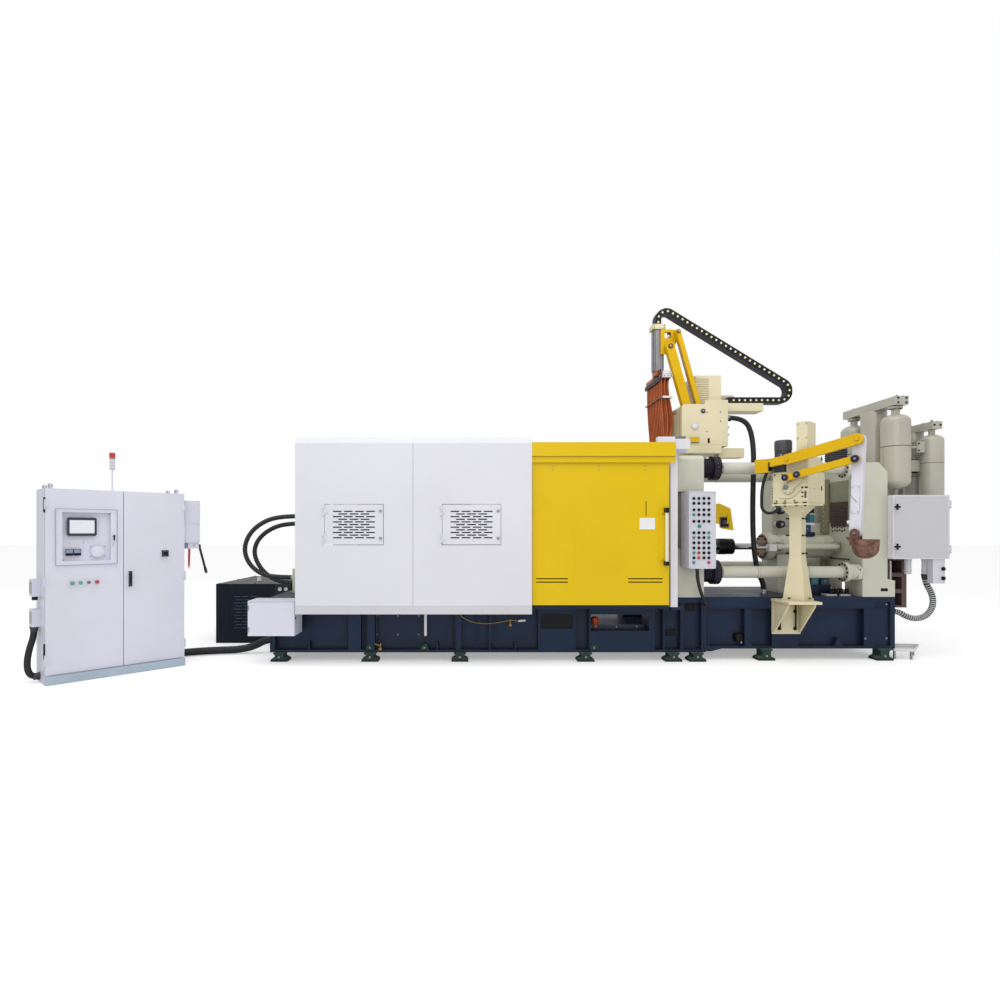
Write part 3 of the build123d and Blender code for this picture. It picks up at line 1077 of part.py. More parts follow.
# Sprayer housing: a gear case with a slot for the arms, a step cover, a ribbed motor cover and the chain trough.
HOUSING_X = (1908.0, 2472.0)
HOUSING_Y = (-350.0, 118.0)
HOUSING_TOP = 3068.0
TROUGH_TOP = 3120.0
ARM_SLOT_Y = (SPRAY_ARM_FRONT - RUN_GAP, SPRAY_ARM_BACK + RUN_GAP)
with BuildPart() as sprayer_housing:
    with BuildSketch(Plane.XZ.offset(-HOUSING_Y[1])):
        with BuildLine():
            Polyline(
                (HOUSING_X[0], BEAM_TOP + SEAT_GAP),
                (HOUSING_X[1], BEAM_TOP + SEAT_GAP),
                (HOUSING_X[1], TROUGH_TOP),
                (2190, TROUGH_TOP),
                (2190, HOUSING_TOP),
                (HOUSING_X[0], HOUSING_TOP),
                close=True,
            )
        make_face()
        fillet(vertices().group_by(Axis.X)[0].sort_by(Axis.Z)[-1], 45)
    extrude(amount=HOUSING_Y[1] - HOUSING_Y[0])
    with BuildSketch(Plane.XZ.offset(-ARM_SLOT_Y[1])):
        with BuildLine():
            Polyline(
                (HOUSING_X[0] - 1, 2680),
                (2215, 2680),
                (2290, 2980),
                (2290, 3200),
                (HOUSING_X[0] - 1, 3200),
                close=True,
            )
        make_face()
    extrude(amount=ARM_SLOT_Y[1] - ARM_SLOT_Y[0], mode=Mode.SUBTRACT)
    block((2163, 2490), (-110, 260), (TROUGH_TOP - 1, 3480))
    block((2163, 2490), (117, 260), (2900, TROUGH_TOP))
    block((2489, 2700), (-10, 180), (3190, 3250))
    block((2471, 3000), (-160, 60), (3020, TROUGH_TOP))
    for pivot in (SPRAY_FOOT, SPRAY_LINK_FOOT):
        rod_y((HOUSING_Y[0] - 1, ARM_SLOT_Y[1] + 1), pivot, PIN_DIAMETER)
sprayer_housing.part.label = "sprayer_housing"
export_step(sprayer_housing.part, "parts/sprayer_housing.step")

# Main spray arm and its parallel link.
with BuildPart() as sprayer_main_arm:
    with BuildSketch(Plane.XZ.offset(-SPRAY_ARM_BACK)):
        bar_between(SPRAY_FOOT, SPRAY_TOP, 105)
        for pivot in (SPRAY_FOOT, SPRAY_TOP):
            with Locations(pivot):
                Circle(PIN_DIAMETER / 2 + PIN_GAP, mode=Mode.SUBTRACT)
    extrude(amount=SPRAY_ARM_BACK - SPRAY_ARM_FRONT)
sprayer_main_arm.part.label = "sprayer_main_arm"
export_step(sprayer_main_arm.part, "parts/sprayer_main_arm.step")

with BuildPart() as sprayer_link_arm:
    with BuildSketch(Plane.XZ.offset(-SPRAY_ARM_BACK)):
        bar_between(SPRAY_LINK_FOOT, SPRAY_LINK_TOP, 56)
        for pivot in (SPRAY_LINK_FOOT, SPRAY_LINK_TOP):
            with Locations(pivot):
                Circle(PIN_DIAMETER / 2 + PIN_GAP, mode=Mode.SUBTRACT)
    extrude(amount=SPRAY_ARM_BACK - SPRAY_ARM_FRONT)
sprayer_link_arm.part.label = "sprayer_link_arm"
export_step(sprayer_link_arm.part, "parts/sprayer_link_arm.step")

# Spray head: the knuckle plate behind the arms, the upright slide and its end bracket.
SLIDE_X = (1631.0, 1745.0)
SLIDE_Z = (3527.0, 4046.0)
HEAD_PLATE_Y = (SPRAY_ARM_BACK + RUN_GAP, SPRAY_ARM_BACK + RUN_GAP + 40)
with BuildPart() as sprayer_head:
    with BuildSketch(Plane.XZ.offset(-HEAD_PLATE_Y[1])):
        with BuildLine():
            Polyline(
                (1700, 3720),
                (SPRAY_TOP[0] + 50, 3745),
                (SPRAY_TOP[0] + 70, 3810),
                (SPRAY_LINK_TOP[0] + 45, 3950),
                (SPRAY_LINK_TOP[0] + 40, 4025),
                (1700, 4035),
                close=True,
            )
        make_face()
        with Locations((1775, 3960)):
            Rectangle(60, 70, mode=Mode.SUBTRACT)
    extrude(amount=HEAD_PLATE_Y[1] - HEAD_PLATE_Y[0])
    for pivot in (SPRAY_TOP, SPRAY_LINK_TOP):
        rod_y((SPRAY_ARM_FRONT - 12, HEAD_PLATE_Y[0] + 1), pivot, PIN_DIAMETER)
    block(SLIDE_X, (HEAD_PLATE_Y[1] - 1, HEAD_PLATE_Y[1] + 120), SLIDE_Z)
    block((SLIDE_X[1] - 46, SLIDE_X[1]), HEAD_PLATE_Y, (3740, 4020))
    block((1606, 1760), (HEAD_PLATE_Y[1] - 20, HEAD_PLATE_Y[1] + 140), (SLIDE_Z[1] - 1, 4106))
sprayer_head.part.label = "sprayer_head"
export_step(sprayer_head.part, "parts/sprayer_head.step")

# Spray tubes: the clamp under the slide and three rows of bent tubes.
TUBE_DIAMETER = 22.0
TUBE_LOW = 2690.0
TUBE_TOP = 3425.0
TUBE_ROWS_Y = [-170 + 62 * i for i in range(10)]
TUBE_COLUMNS = ((1715, 1725, 1750), (1757, 1783, 1783), (1800, 1841, 1815))
BUNDLE_Y = (-198.0, 420.0)
with BuildPart() as spray_tubes:
    block((1700, 1822), BUNDLE_Y, (TUBE_TOP - 1, TUBE_TOP + 84))
    block((1640, 1800), (HEAD_PLATE_Y[1] - 1, HEAD_PLATE_Y[1] + 121), (TUBE_TOP + 40, SLIDE_Z[0] - SEAT_GAP))
    for y in TUBE_ROWS_Y:
        for top_x, middle_x, low_x in TUBE_COLUMNS:
            with BuildLine() as tube_route:
                Spline((top_x, y, TUBE_TOP), (top_x, y, 3250), (middle_x, y, 3010), (low_x, y, TUBE_LOW))
            with BuildSketch(Plane(origin=tube_route.line @ 0, z_dir=tube_route.line % 0)):
                Circle(TUBE_DIAMETER / 2)
            sweep(path=tube_route.line)
    block((1700, 1845), (-188, 410), (3180, 3192))
spray_tubes.part.label = "spray_tubes"
export_step(spray_tubes.part, "parts/spray_tubes.step")

# Energy chain: one fixed loop of links from the slide's bracket over to the trough.
CHAIN_HEIGHT = 76.0
CHAIN_Y = (-150.0, -30.0)
CHAIN_LAY = TROUGH_TOP + SEAT_GAP + CHAIN_HEIGHT / 2
CHAIN_ROUTE = [
    (1683, 4106 + SEAT_GAP),
    (1683, 4240),
    (1795, 4293),
    (3333, 3351.5),
    (3333, CHAIN_LAY),
    (2560, CHAIN_LAY),
]
with BuildPart() as energy_chain:
    with BuildSketch(Plane.XZ.offset(-CHAIN_Y[1])):
        with BuildLine() as chain_line:
            FilletPolyline(*CHAIN_ROUTE, radius=[95, 95, 120, 110])
        trace(line_width=CHAIN_HEIGHT)
    extrude(amount=CHAIN_Y[1] - CHAIN_Y[0])
energy_chain.part.label = "energy_chain"
export_step(energy_chain.part, "parts/energy_chain.step")

# Pour guard: a bent plate over the sleeve's filling hole, on the back of the fixed platen.
with BuildPart() as pour_guard:
    with BuildSketch(Plane.XZ.offset(300)):
        with BuildLine():
            Polyline(
                (FIXED_BACK + SEAT_GAP, 1850),
                (2390, 1850),
                (2520, 1790),
                (2560, 1520),
                (2420, 1540),
                (2380, 1600),
                (FIXED_BACK + SEAT_GAP, 1640),
                close=True,
            )
        make_face()
    extrude(amount=12)
    block((FIXED_BACK + SEAT_GAP, FIXED_BACK + 16), (-360, -250), (1640, 1850))
pour_guard.part.label = "pour_guard"
export_step(pour_guard.part, "parts/pour_guard.step")

# Oil tank: a closed tank with louvred sides and a gauge bracket, to the left of the clamp base.
TANK_X = (-4116.0, -3050.0)
TANK_Y = (410.0, 1860.0)
TANK_TOP = 797.0
with BuildPart() as oil_tank:
    block(TANK_X, TANK_Y, (0, TANK_TOP))
    block((TANK_X[0] + 6, TANK_X[1] - 6), (TANK_Y[0] + 6, TANK_Y[1] - 6), (TANK_TOP - 12, TANK_TOP + 1), mode=Mode.SUBTRACT)
    block((TANK_X[0] + 12, TANK_X[1] - 12), (TANK_Y[0] + 12, TANK_Y[1] - 12), (TANK_TOP - 13, TANK_TOP - 4))
    for row in range(11):
        row_z = 190 + row * 42
        block((TANK_X[0] + 230, TANK_X[0] + 560), (TANK_Y[0] - 1, TANK_Y[0] + 8), (row_z, row_z + 16), mode=Mode.SUBTRACT)
    block((-3300, -3080), (TANK_Y[0] - 60, TANK_Y[0] + 1), (610, 790))
    for flange_z in (330, 560):
        rod_x((TANK_X[1] - 1, CLAMP_BASE_LEFT - SEAT_GAP), (570, flange_z), 130)
oil_tank.part.label = "oil_tank"
export_step(oil_tank.part, "parts/oil_tank.step")

# Junction box on the base's front left corner.
with BuildPart() as junction_box:
    block((-3158, -2640), (-1050, -740), (347, 590))
    block((-3158, -2640), (-1050, -740), (589, 736))
    block((-2990, -2760), (-741, -CLAMP_BASE_HALF - SEAT_GAP), (400, 580))
    fillet(junction_box.edges().filter_by(Axis.Z).sort_by(Axis.Y)[0:1], 12)
junction_box.part.label = "junction_box"
export_step(junction_box.part, "parts/junction_box.step")

# Cabinet: a plinth and an open-fronted steel case with lifting eyes and plug boxes on its left side.
CABINET_WALL = 5.0
CABINET_HINGES = (250.0, CABINET_HEIGHT / 2 + 45, CABINET_HEIGHT - 160)
with BuildPart(CABINET_PLANE) as cabinet:
    block((0, CABINET_WIDTH), (CABINET_DOOR + 3, CABINET_DEPTH), (CABINET_PLINTH, CABINET_HEIGHT))
    block(
        (CABINET_WALL, CABINET_WIDTH - CABINET_WALL),
        (0, CABINET_DEPTH - CABINET_WALL),
        (CABINET_PLINTH + CABINET_WALL, CABINET_HEIGHT - CABINET_WALL),
        mode=Mode.SUBTRACT,
    )
    block((0, CABINET_WIDTH), (6, CABINET_DEPTH), (0, CABINET_PLINTH))
    for eye_x in (60, CABINET_WIDTH - 60):
        for eye_y in (90, CABINET_DEPTH - 60):
            block((eye_x - 6, eye_x + 6), (eye_y - 22, eye_y + 22), (CABINET_HEIGHT - 1, CABINET_HEIGHT + 50))
    for plug_z in (560, 860):
        block((-75, 1), (180, 330), (plug_z, plug_z + 170))
    hinge_pins((-HINGE_SIDE, -HINGE_OUT), (-HINGE_SIDE - 6, 1), (-HINGE_OUT, 36), CABINET_HINGES)
    right_hinge = (CABINET_WIDTH + HINGE_SIDE, -HINGE_OUT)
    hinge_pins(right_hinge, (CABINET_WIDTH - 1, CABINET_WIDTH + HINGE_SIDE + 6), (-HINGE_OUT, 36), CABINET_HINGES)
cabinet.part.label = "cabinet"
export_step(cabinet.part, "parts/cabinet.step")

# Left cabinet door: hinged on the left, with the recessed screen panel behind its window frame.
DOOR_GAP = 3.0
DOOR_Z = (CABINET_PLINTH + DOOR_GAP, CABINET_HEIGHT - DOOR_GAP)
FRAME_X = (85.0, 625.0)
FRAME_TOP = CABINET_HEIGHT - 200
FRAME_Z = (FRAME_TOP - 560, FRAME_TOP)
RECESS_X = (142.0, 570.0)
RECESS_Z = (FRAME_Z[0] + 38, FRAME_TOP - 32)
with BuildPart(CABINET_PLANE) as cabinet_left_door:
    block((DOOR_GAP, CABINET_SEAM - DOOR_GAP), (0, CABINET_DOOR), DOOR_Z)
    block(
        (DOOR_GAP + 22, CABINET_SEAM - DOOR_GAP - 22),
        (3, CABINET_DOOR + 1),
        (DOOR_Z[0] + 22, DOOR_Z[1] - 22),
        mode=Mode.SUBTRACT,
    )
    hinge_knuckles((-HINGE_SIDE, -HINGE_OUT), (-HINGE_SIDE, 34), (-8, 1), CABINET_HINGES)
    block(FRAME_X, (-12, 4), FRAME_Z)
    block((RECESS_X[0] - 6, RECESS_X[1] + 6), (3, 46), (RECESS_Z[0] - 6, RECESS_Z[1] + 6))
    block(RECESS_X, (-13, 40), RECESS_Z, mode=Mode.SUBTRACT)
cabinet_left_door.part.label = "cabinet_left_door"
export_step(cabinet_left_door.part, "parts/cabinet_left_door.step")

# Right cabinet door: hinged on the right, with a swing handle and a rotary switch.
with BuildPart(CABINET_PLANE) as cabinet_right_door:
    block((CABINET_SEAM + DOOR_GAP, CABINET_WIDTH - DOOR_GAP), (0, CABINET_DOOR), DOOR_Z)
    block(
        (CABINET_SEAM + DOOR_GAP + 22, CABINET_WIDTH - DOOR_GAP - 22),
        (3, CABINET_DOOR + 1),
        (DOOR_Z[0] + 22, DOOR_Z[1] - 22),
        mode=Mode.SUBTRACT,
    )
    right_axis = (CABINET_WIDTH + HINGE_SIDE, -HINGE_OUT)
    hinge_knuckles(right_axis, (CABINET_WIDTH - 34, CABINET_WIDTH + HINGE_SIDE), (-8, 1), CABINET_HINGES)
    handle_z = CABINET_HEIGHT - 1005
    block((CABINET_SEAM + 40, CABINET_SEAM + 72), (-22, 1), (handle_z, handle_z + 163))
    block((1060, 1130), (-18, 1), (handle_z + 305, handle_z + 375))
cabinet_right_door.part.label = "cabinet_right_door"
export_step(cabinet_right_door.part, "parts/cabinet_right_door.step")

# Signal tower: a thin pole with a stack of lamps on the cabinet's roof.
with BuildPart(CABINET_PLANE) as signal_tower:
    tower = (630, 180)
    rod_z((CABINET_HEIGHT + SEAT_GAP, CABINET_HEIGHT + 12), tower, 60)
    rod_z((CABINET_HEIGHT + 11, CABINET_HEIGHT + 236), tower, 14)
    rod_z((CABINET_HEIGHT + 235, CABINET_HEIGHT + 360), tower, 50)
    rod_z((CABINET_HEIGHT + 359, CABINET_HEIGHT + 417), tower, 56)
signal_tower.part.label = "signal_tower"
export_step(signal_tower.part, "parts/signal_tower.step")

# Switch box on the cabinet's right side, with a block below it for the lever's pin.
SWITCH_X = CABINET_WIDTH + 185.0
SWITCH_Z = (CABINET_HEIGHT - 550.0, CABINET_HEIGHT - 74.0)
LEVER_PIVOT = (110.0, SWITCH_Z[0] - 45.0)
LEVER_X = SWITCH_X + 18.0
LEVER_PIN = 20.0
LEVER_HUB = (CABINET_WIDTH + 60.0, SWITCH_X - 5.0)
PIN_END = LEVER_X + 12.0
with BuildPart(CABINET_PLANE) as switch_box:
    block((CABINET_WIDTH + SEAT_GAP, SWITCH_X), (42, 262), SWITCH_Z)
    block(LEVER_HUB, (60, 200), (SWITCH_Z[0] - 70, SWITCH_Z[0] + 1))
    rod_x((LEVER_HUB[0], PIN_END), LEVER_PIVOT, LEVER_PIN)
switch_box.part.label = "switch_box"
export_step(switch_box.part, "parts/switch_box.step")

with BuildPart() as switch_lever:
    lever_origin = CABINET_PLANE.from_local_coords((LEVER_X - 8, 0, 0))
    with BuildSketch(Plane(origin=lever_origin, x_dir=CABINET_PLANE.y_dir, z_dir=CABINET_PLANE.x_dir)):
        bar_between(LEVER_PIVOT, (LEVER_PIVOT[0] - 200, LEVER_PIVOT[1] - 290), 26)
        with Locations(LEVER_PIVOT):
            Circle(24)
            Circle(LEVER_PIN / 2 + PIN_GAP, mode=Mode.SUBTRACT)
    extrude(amount=16)
switch_lever.part.label = "switch_lever"
export_step(switch_lever.part, "parts/switch_lever.step")

# Valve rack behind the hose loop at the end of the shot base: an upright frame of shelves and posts.
RACK_X = (SHOT_BASE_RIGHT + SEAT_GAP, 4600.0)
RACK_Y = (-430.0, -120.0)
RACK_Z = (585.0, 1180.0)
RACK_BAYS = 3
with BuildPart() as valve_rack:
    block(RACK_X, RACK_Y, RACK_Z)
    bay_height = (RACK_Z[1] - RACK_Z[0]) / RACK_BAYS
    for bay in range(RACK_BAYS):
        low = RACK_Z[0] + bay * bay_height
        bay_x = (RACK_X[0] + 30, RACK_X[1] - 60)
        block(bay_x, (RACK_Y[0] - 1, RACK_Y[0] + 150), (low + 25, low + bay_height - 25), mode=Mode.SUBTRACT)
        rod_z((low + 24, low + bay_height - 24), (RACK_X[0] + 110, RACK_Y[0] + 80), 80)
valve_rack.part.label = "valve_rack"
export_step(valve_rack.part, "parts/valve_rack.step")

# Hoses and cables.
CLAMP_HOSE = 55.0
outer_hose = hose(
    "clamp_hose_outer",
    [
        (CYLINDER_END - SEAT_GAP, -90, 1700),
        (-3050, -90, 1700),
        (-3280, -85, 1650),
        (-3480, -80, 1500),
        (-3565, -75, 1290),
        (-3500, -70, 1090),
        (-3330, -70, 955),
        (-3110, -70, 925),
        (CYLINDER_END - 60 - SEAT_GAP, -70, 925),
    ],
    CLAMP_HOSE,
)
outer_hose.part.label = "clamp_hose_outer"
export_step(outer_hose.part, "parts/clamp_hose_outer.step")

inner_hose = hose(
    "clamp_hose_inner",
    [
        (CYLINDER_END - SEAT_GAP, 60, 1610),
        (-3020, 60, 1610),
        (-3220, 55, 1565),
        (-3400, 50, 1440),
        (-3480, 45, 1270),
        (-3430, 40, 1090),
        (-3290, 40, 930),
        (-3100, 45, 845),
        (CYLINDER_END - 60 - SEAT_GAP, 45, 845),
    ],
    CLAMP_HOSE,
)
inner_hose.part.label = "clamp_hose_inner"
export_step(inner_hose.part, "parts/clamp_hose_inner.step")

spray_hose = hose(
    "sprayer_hose",
    [
        (HOUSING_X[1] + SEAT_GAP, -260, 2918),
        (2600, -260, 2918),
        (2745, -265, 2860),
        (2800, -275, 2700),
        (2815, -290, 2480),
        (2808, -300, 2230),
        (2800, -300, 1960),
        (2798, -300, 1690),
        (2805, -298, 1430),
        (2828, -295, 1180),
        (2872, -292, 990),
        (2940, -290, 850),
        (2940, -290, BASE_TOP + SEAT_GAP),
    ],
    60,
)
spray_hose.part.label = "sprayer_hose"
export_step(spray_hose.part, "parts/sprayer_hose.step")


def ladler_point(u, v, z):
    """A point of the ladler's turned frame in the machine's frame."""
    return tuple(LADLER_PLANE.from_local_coords(Vector(u, v, z)))


ladle_hose = hose(
    "ladler_hose",
    [
        ladler_point(HEAD_STEP - MOTOR_FLANGE / 2 - MOTOR_BODY / 2 - 3 * SEAT_GAP, -61, 2250),
        ladler_point(-271, -61, 2250),
        ladler_point(-304, -97, 2200),
        ladler_point(-322, -125, 2120),
        ladler_point(-331, -150, 2030),
        ladler_point(-334, -165, 1940),
        ladler_point(-331, -172, 1860),
        ladler_point(-329, -176, 1772),
        ladler_point(-275, -178, 1718),
        ladler_point(-199, -178, 1718),
        ladler_point(-145, -178, 1758),
        ladler_point(-145, -178, COLUMN_TOP - SEAT_GAP),
    ],
    34,
)
ladle_hose.part.label = "ladler_hose"
export_step(ladle_hose.part, "parts/ladler_hose.step")

box_hose = hose(
    "terminal_hose",
    [
        (FITTING_X[1], FITTING_Y, BOX_Z[0] - FITTING_LENGTH - SEAT_GAP),
        (FITTING_X[1], FITTING_Y, 905),
        (4790, FITTING_Y, 800),
        (4825, FITTING_Y, 690),
        (4805, FITTING_Y, 580),
        (4730, FITTING_Y, 495),
        (4620, FITTING_Y, 465),
        (4505, FITTING_Y, 490),
        (4395, FITTING_Y, 560),
        (SHOT_BASE_RIGHT + SEAT_GAP, FITTING_Y, 560),
    ],
    64,
)
box_hose.part.label = "terminal_hose"
export_step(box_hose.part, "parts/terminal_hose.step")

panel_lead = hose(
    "panel_cable",
    [
        (1890, -880, PANEL_Z[0] - SEAT_GAP),
        (1890, -880, 1000),
        (1912, -865, 900),
        (1948, -840, 805),
        (1990, -815, 720),
        (2028, -790, 655),
        (2028, -CLAMP_BASE_HALF - SEAT_GAP, 655),
    ],
    38,
)
panel_lead.part.label = "panel_cable"
export_step(panel_lead.part, "parts/panel_cable.step")


def cabinet_point(x, y, z):
    """A point of the cabinet's turned frame in the machine's frame."""
    return tuple(CABINET_PLANE.from_local_coords(Vector(x, y, z)))


plug_lead = hose(
    "cabinet_cable",
    [
        cabinet_point(-45, 255, 560 - SEAT_GAP),
        cabinet_point(-45, 255, 470),
        cabinet_point(-85, 250, 340),
        cabinet_point(-105, 245, 220),
        cabinet_point(-100, 242, 120),
        cabinet_point(-62, 240, 60),
        cabinet_point(-SEAT_GAP, 240, 60),
    ],
    60,
)
plug_lead.part.label = "cabinet_cable"
export_step(plug_lead.part, "parts/cabinet_cable.step")

floor_lead = hose(
    "floor_cable",
    [
        cabinet_point(1180, CABINET_DEPTH + SEAT_GAP, 50),
        cabinet_point(1180, CABINET_DEPTH + 130, 50),
        (-4060, -420, 48),
        (-3800, -330, 48),
        (-3560, -300, 48),
        (-3370, -275, 80),
        (-3190, -260, 180),
        (CLAMP_BASE_LEFT - SEAT_GAP, -260, 180),
    ],
    90,
)
floor_lead.part.label = "floor_cable"
export_step(floor_lead.part, "parts/floor_cable.step")
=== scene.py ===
"""The looks of a cold chamber die casting machine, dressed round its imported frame.

Sizes in the sections are millimetres; Blender's own are metres. +X runs to the shot end, +Y away from the
operator, and the origin is on the floor under the middle of the whole plant.
"""

import math

import bmesh
import bpy
from mathutils import Matrix, Vector


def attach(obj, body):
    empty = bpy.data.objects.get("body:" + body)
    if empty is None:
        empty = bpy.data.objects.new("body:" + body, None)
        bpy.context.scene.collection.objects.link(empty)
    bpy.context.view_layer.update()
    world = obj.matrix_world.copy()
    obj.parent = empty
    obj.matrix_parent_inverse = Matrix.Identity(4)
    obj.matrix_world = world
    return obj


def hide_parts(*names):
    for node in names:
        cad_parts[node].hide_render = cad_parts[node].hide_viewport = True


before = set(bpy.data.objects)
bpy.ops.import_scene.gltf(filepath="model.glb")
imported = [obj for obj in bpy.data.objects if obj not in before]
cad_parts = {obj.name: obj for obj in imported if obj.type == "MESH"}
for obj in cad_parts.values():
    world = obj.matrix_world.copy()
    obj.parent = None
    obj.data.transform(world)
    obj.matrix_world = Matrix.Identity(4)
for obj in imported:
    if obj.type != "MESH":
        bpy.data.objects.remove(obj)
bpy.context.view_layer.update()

# Camera: at eye height in front of the clamp unit, level, looking square at the long side.
# The small shift frames the machine a little right of the lens axis and the floor low in the picture.
camera_data = bpy.data.cameras.new("camera")
camera_data.lens = 21.6
camera_data.sensor_width = 36
camera_data.shift_x = 0.035
camera_data.shift_y = 0.032
camera_data.clip_end = 200
camera = bpy.data.objects.new("camera", camera_data)
camera.location = (-0.75, -7.70, 1.50)
camera.rotation_euler = (math.radians(90), 0, 0)
bpy.context.scene.collection.objects.link(camera)
bpy.context.scene.camera = camera
bpy.context.scene.view_settings.view_transform = "Standard"


# Studio: a pale seamless floor and an even white sky, which reflections show as well.
# A wide soft lamp hangs over the front of the machine and a weaker one stands behind the camera.
def linear(code):
    """An sRGB hex value as a linear colour."""
    channels = [int(code[i : i + 2], 16) / 255 for i in (1, 3, 5)]
    return [c / 12.92 if c <= 0.04045 else ((c + 0.055) / 1.055) ** 2.4 for c in channels] + [1.0]


def add(tree, kind, links=None, values=None, **settings):
    """A shader node with its settings, its input values and what is linked into it."""
    made = tree.nodes.new(kind)
    for name, value in settings.items():
        setattr(made, name, value)
    for socket, value in (values or {}).items():
        made.inputs[socket].default_value = value
    for socket, source in (links or {}).items():
        tree.links.new(source, made.inputs[socket])
    return made


def new_finish(name):
    """An empty material and its node tree."""
    finish = bpy.data.materials.new(name)
    finish.use_nodes = True
    finish.node_tree.nodes.clear()
    return finish, finish.node_tree


pale_floor, tree = new_finish("pale_vinyl_floor")
matt = add(tree, "ShaderNodeBsdfDiffuse", values={"Color": linear("#f4f4f4")})
path = add(tree, "ShaderNodeLightPath")
lift = add(tree, "ShaderNodeMapRange", {0: path.outputs["Is Camera Ray"]}, {"To Min": 0.0, "To Max": 0.36})
glow = add(tree, "ShaderNodeEmission", {"Strength": lift.outputs[0]})
both = add(tree, "ShaderNodeAddShader", {0: matt.outputs[0], 1: glow.outputs[0]})
add(tree, "ShaderNodeOutputMaterial", {"Surface": both.outputs[0]})
bpy.ops.mesh.primitive_plane_add(size=120, location=(0, 0, -0.002))
floor = bpy.context.object
floor.name = "floor"
floor.data.materials.append(pale_floor)

world = bpy.data.worlds.new("white_sky")
bpy.context.scene.world = world
world.use_nodes = True
tree = world.node_tree
tree.nodes.clear()
rays = add(tree, "ShaderNodeLightPath")
level = add(tree, "ShaderNodeMapRange", {0: rays.outputs["Is Camera Ray"]}, {"To Min": 0.66, "To Max": 1.0})
sky = add(tree, "ShaderNodeBackground", {"Strength": level.outputs[0]}, {"Color": (1, 1, 1, 1)})
add(tree, "ShaderNodeOutputWorld", {"Surface": sky.outputs[0]})

for name, place, turn, size, power in (
    ("overhead_softbox", (-1.0, -3.5, 7.5), (22, 0, 0), (12, 5), 300),
    ("front_softbox", (-2.0, -11.0, 5.0), (66, 0, -6), (9, 4), 110),
):
    lamp_data = bpy.data.lights.new(name, "AREA")
    lamp_data.shape = "RECTANGLE"
    lamp_data.size, lamp_data.size_y = size
    lamp_data.energy = power
    lamp = bpy.data.objects.new(name, lamp_data)
    lamp.location = place
    lamp.rotation_euler = [math.radians(angle) for angle in turn]
    bpy.context.scene.collection.objects.link(lamp)


# Hoses and cables: extruded rubber over braid, held in crimped steel ferrules at both ends.
# Eight of them hang or lie between the units; each follows the soft curve of its own weight.
def coated(
    name, colour, rough, metal=0.0, vary=0.04, vary_mm=600, grain_mm=6, grain=0.04,
    coat=0.0, dust=0.0, corner_shade=0.0, shine=0.5,
):
    """A finish with a slow drift of tone, a grain of a real size, settled dust and painted shade darkening its corners.
    """
    finish, tree = new_finish(name)
    place = add(tree, "ShaderNodeTexCoord").outputs["Object"]
    drift = add(tree, "ShaderNodeTexNoise", {"Vector": place}, {"Scale": 1000 / vary_mm, "Detail": 4.0})
    tone = add(
        tree, "ShaderNodeMapRange", {0: drift.outputs[0]},
        {"From Min": 0.3, "From Max": 0.7, "To Min": 1 - vary, "To Max": 1 + vary},
    )
    shade = add(
        tree, "ShaderNodeMix", {7: tone.outputs[0]}, {0: 1.0, 6: linear(colour)}, data_type="RGBA",
        blend_type="MULTIPLY",
    )
    look = shade.outputs[2]
    if dust:
        facing = add(tree, "ShaderNodeSeparateXYZ", {0: add(tree, "ShaderNodeNewGeometry").outputs["Normal"]})
        lies = add(
            tree, "ShaderNodeMapRange", {0: facing.outputs[2]},
            {"From Min": 0.6, "From Max": 1.0, "To Min": 0.0, "To Max": dust},
        )
        look = add(
            tree, "ShaderNodeMix", {0: lies.outputs[0], 6: look}, {7: linear("#b7b2a6")}, data_type="RGBA",
        ).outputs[2]
    # Painted shade: the colour darkens towards near black where ambient occlusion finds nearby surfaces, in corners and
    # recesses.
    if corner_shade:
        nook = add(tree, "ShaderNodeAmbientOcclusion", values={"Distance": 0.12}, samples=4)
        held = add(
            tree, "ShaderNodeMapRange", {0: nook.outputs["AO"]},
            {"From Min": 0.3, "From Max": 0.95, "To Min": corner_shade, "To Max": 0.0},
        )
        look = add(
            tree, "ShaderNodeMix", {0: held.outputs[0], 6: look}, {7: linear("#23201b")}, data_type="RGBA",
        ).outputs[2]
    sand = add(tree, "ShaderNodeTexNoise", {"Vector": place}, {"Scale": 1000 / grain_mm, "Detail": 2.0})
    relief = add(
        tree, "ShaderNodeBump", {"Height": sand.outputs[0]}, {"Strength": grain, "Distance": grain_mm / 4000},
    )
    rub = add(
        tree, "ShaderNodeMapRange", {0: drift.outputs[0]},
        {"From Min": 0.3, "From Max": 0.7, "To Min": max(rough - 0.06, 0.02), "To Max": rough + 0.06},
    )
    body = add(
        tree,
        "ShaderNodeBsdfPrincipled",
        {"Base Color": look, "Roughness": rub.outputs[0], "Normal": relief.outputs[0]},
        {"Metallic": metal, "Coat Weight": coat, "Specular IOR Level": shine},
    )
    add(tree, "ShaderNodeOutputMaterial", {"Surface": body.outputs[0]})
    return finish


def turned(profile, start, along, sides=24):
    """Corners and faces of a turned form: (distance, radius) pairs from start on, along a direction."""
    axis = Vector(along).normalized()
    across = axis.orthogonal().normalized()
    other = axis.cross(across)
    corners, faces = [], []
    for distance, radius in profile:
        for i in range(sides):
            angle = 2 * math.pi * i / sides
            corners.append(
                Vector(start) + axis * distance + (across * math.cos(angle) + other * math.sin(angle)) * radius
            )
    for ring in range(len(profile) - 1):
        for i in range(sides):
            j = (i + 1) % sides
            low, high = ring * sides, (ring + 1) * sides
            faces.append((low + i, low + j, high + j, high + i))
    faces.append(tuple(range(sides)))
    faces.append(tuple(range((len(profile) - 1) * sides, len(profile) * sides)))
    return corners, faces


def rod(start, along, radius, length, sides=24):
    """A plain round bar."""
    return turned([(0, radius), (length, radius)], start, along, sides)


def stud(start, along, radius, length, whole, tip, sides=24):
    """A round bar that narrows over its last part to its tip's radius."""
    return turned([(0, radius), (length, radius), (whole, tip)], start, along, sides)


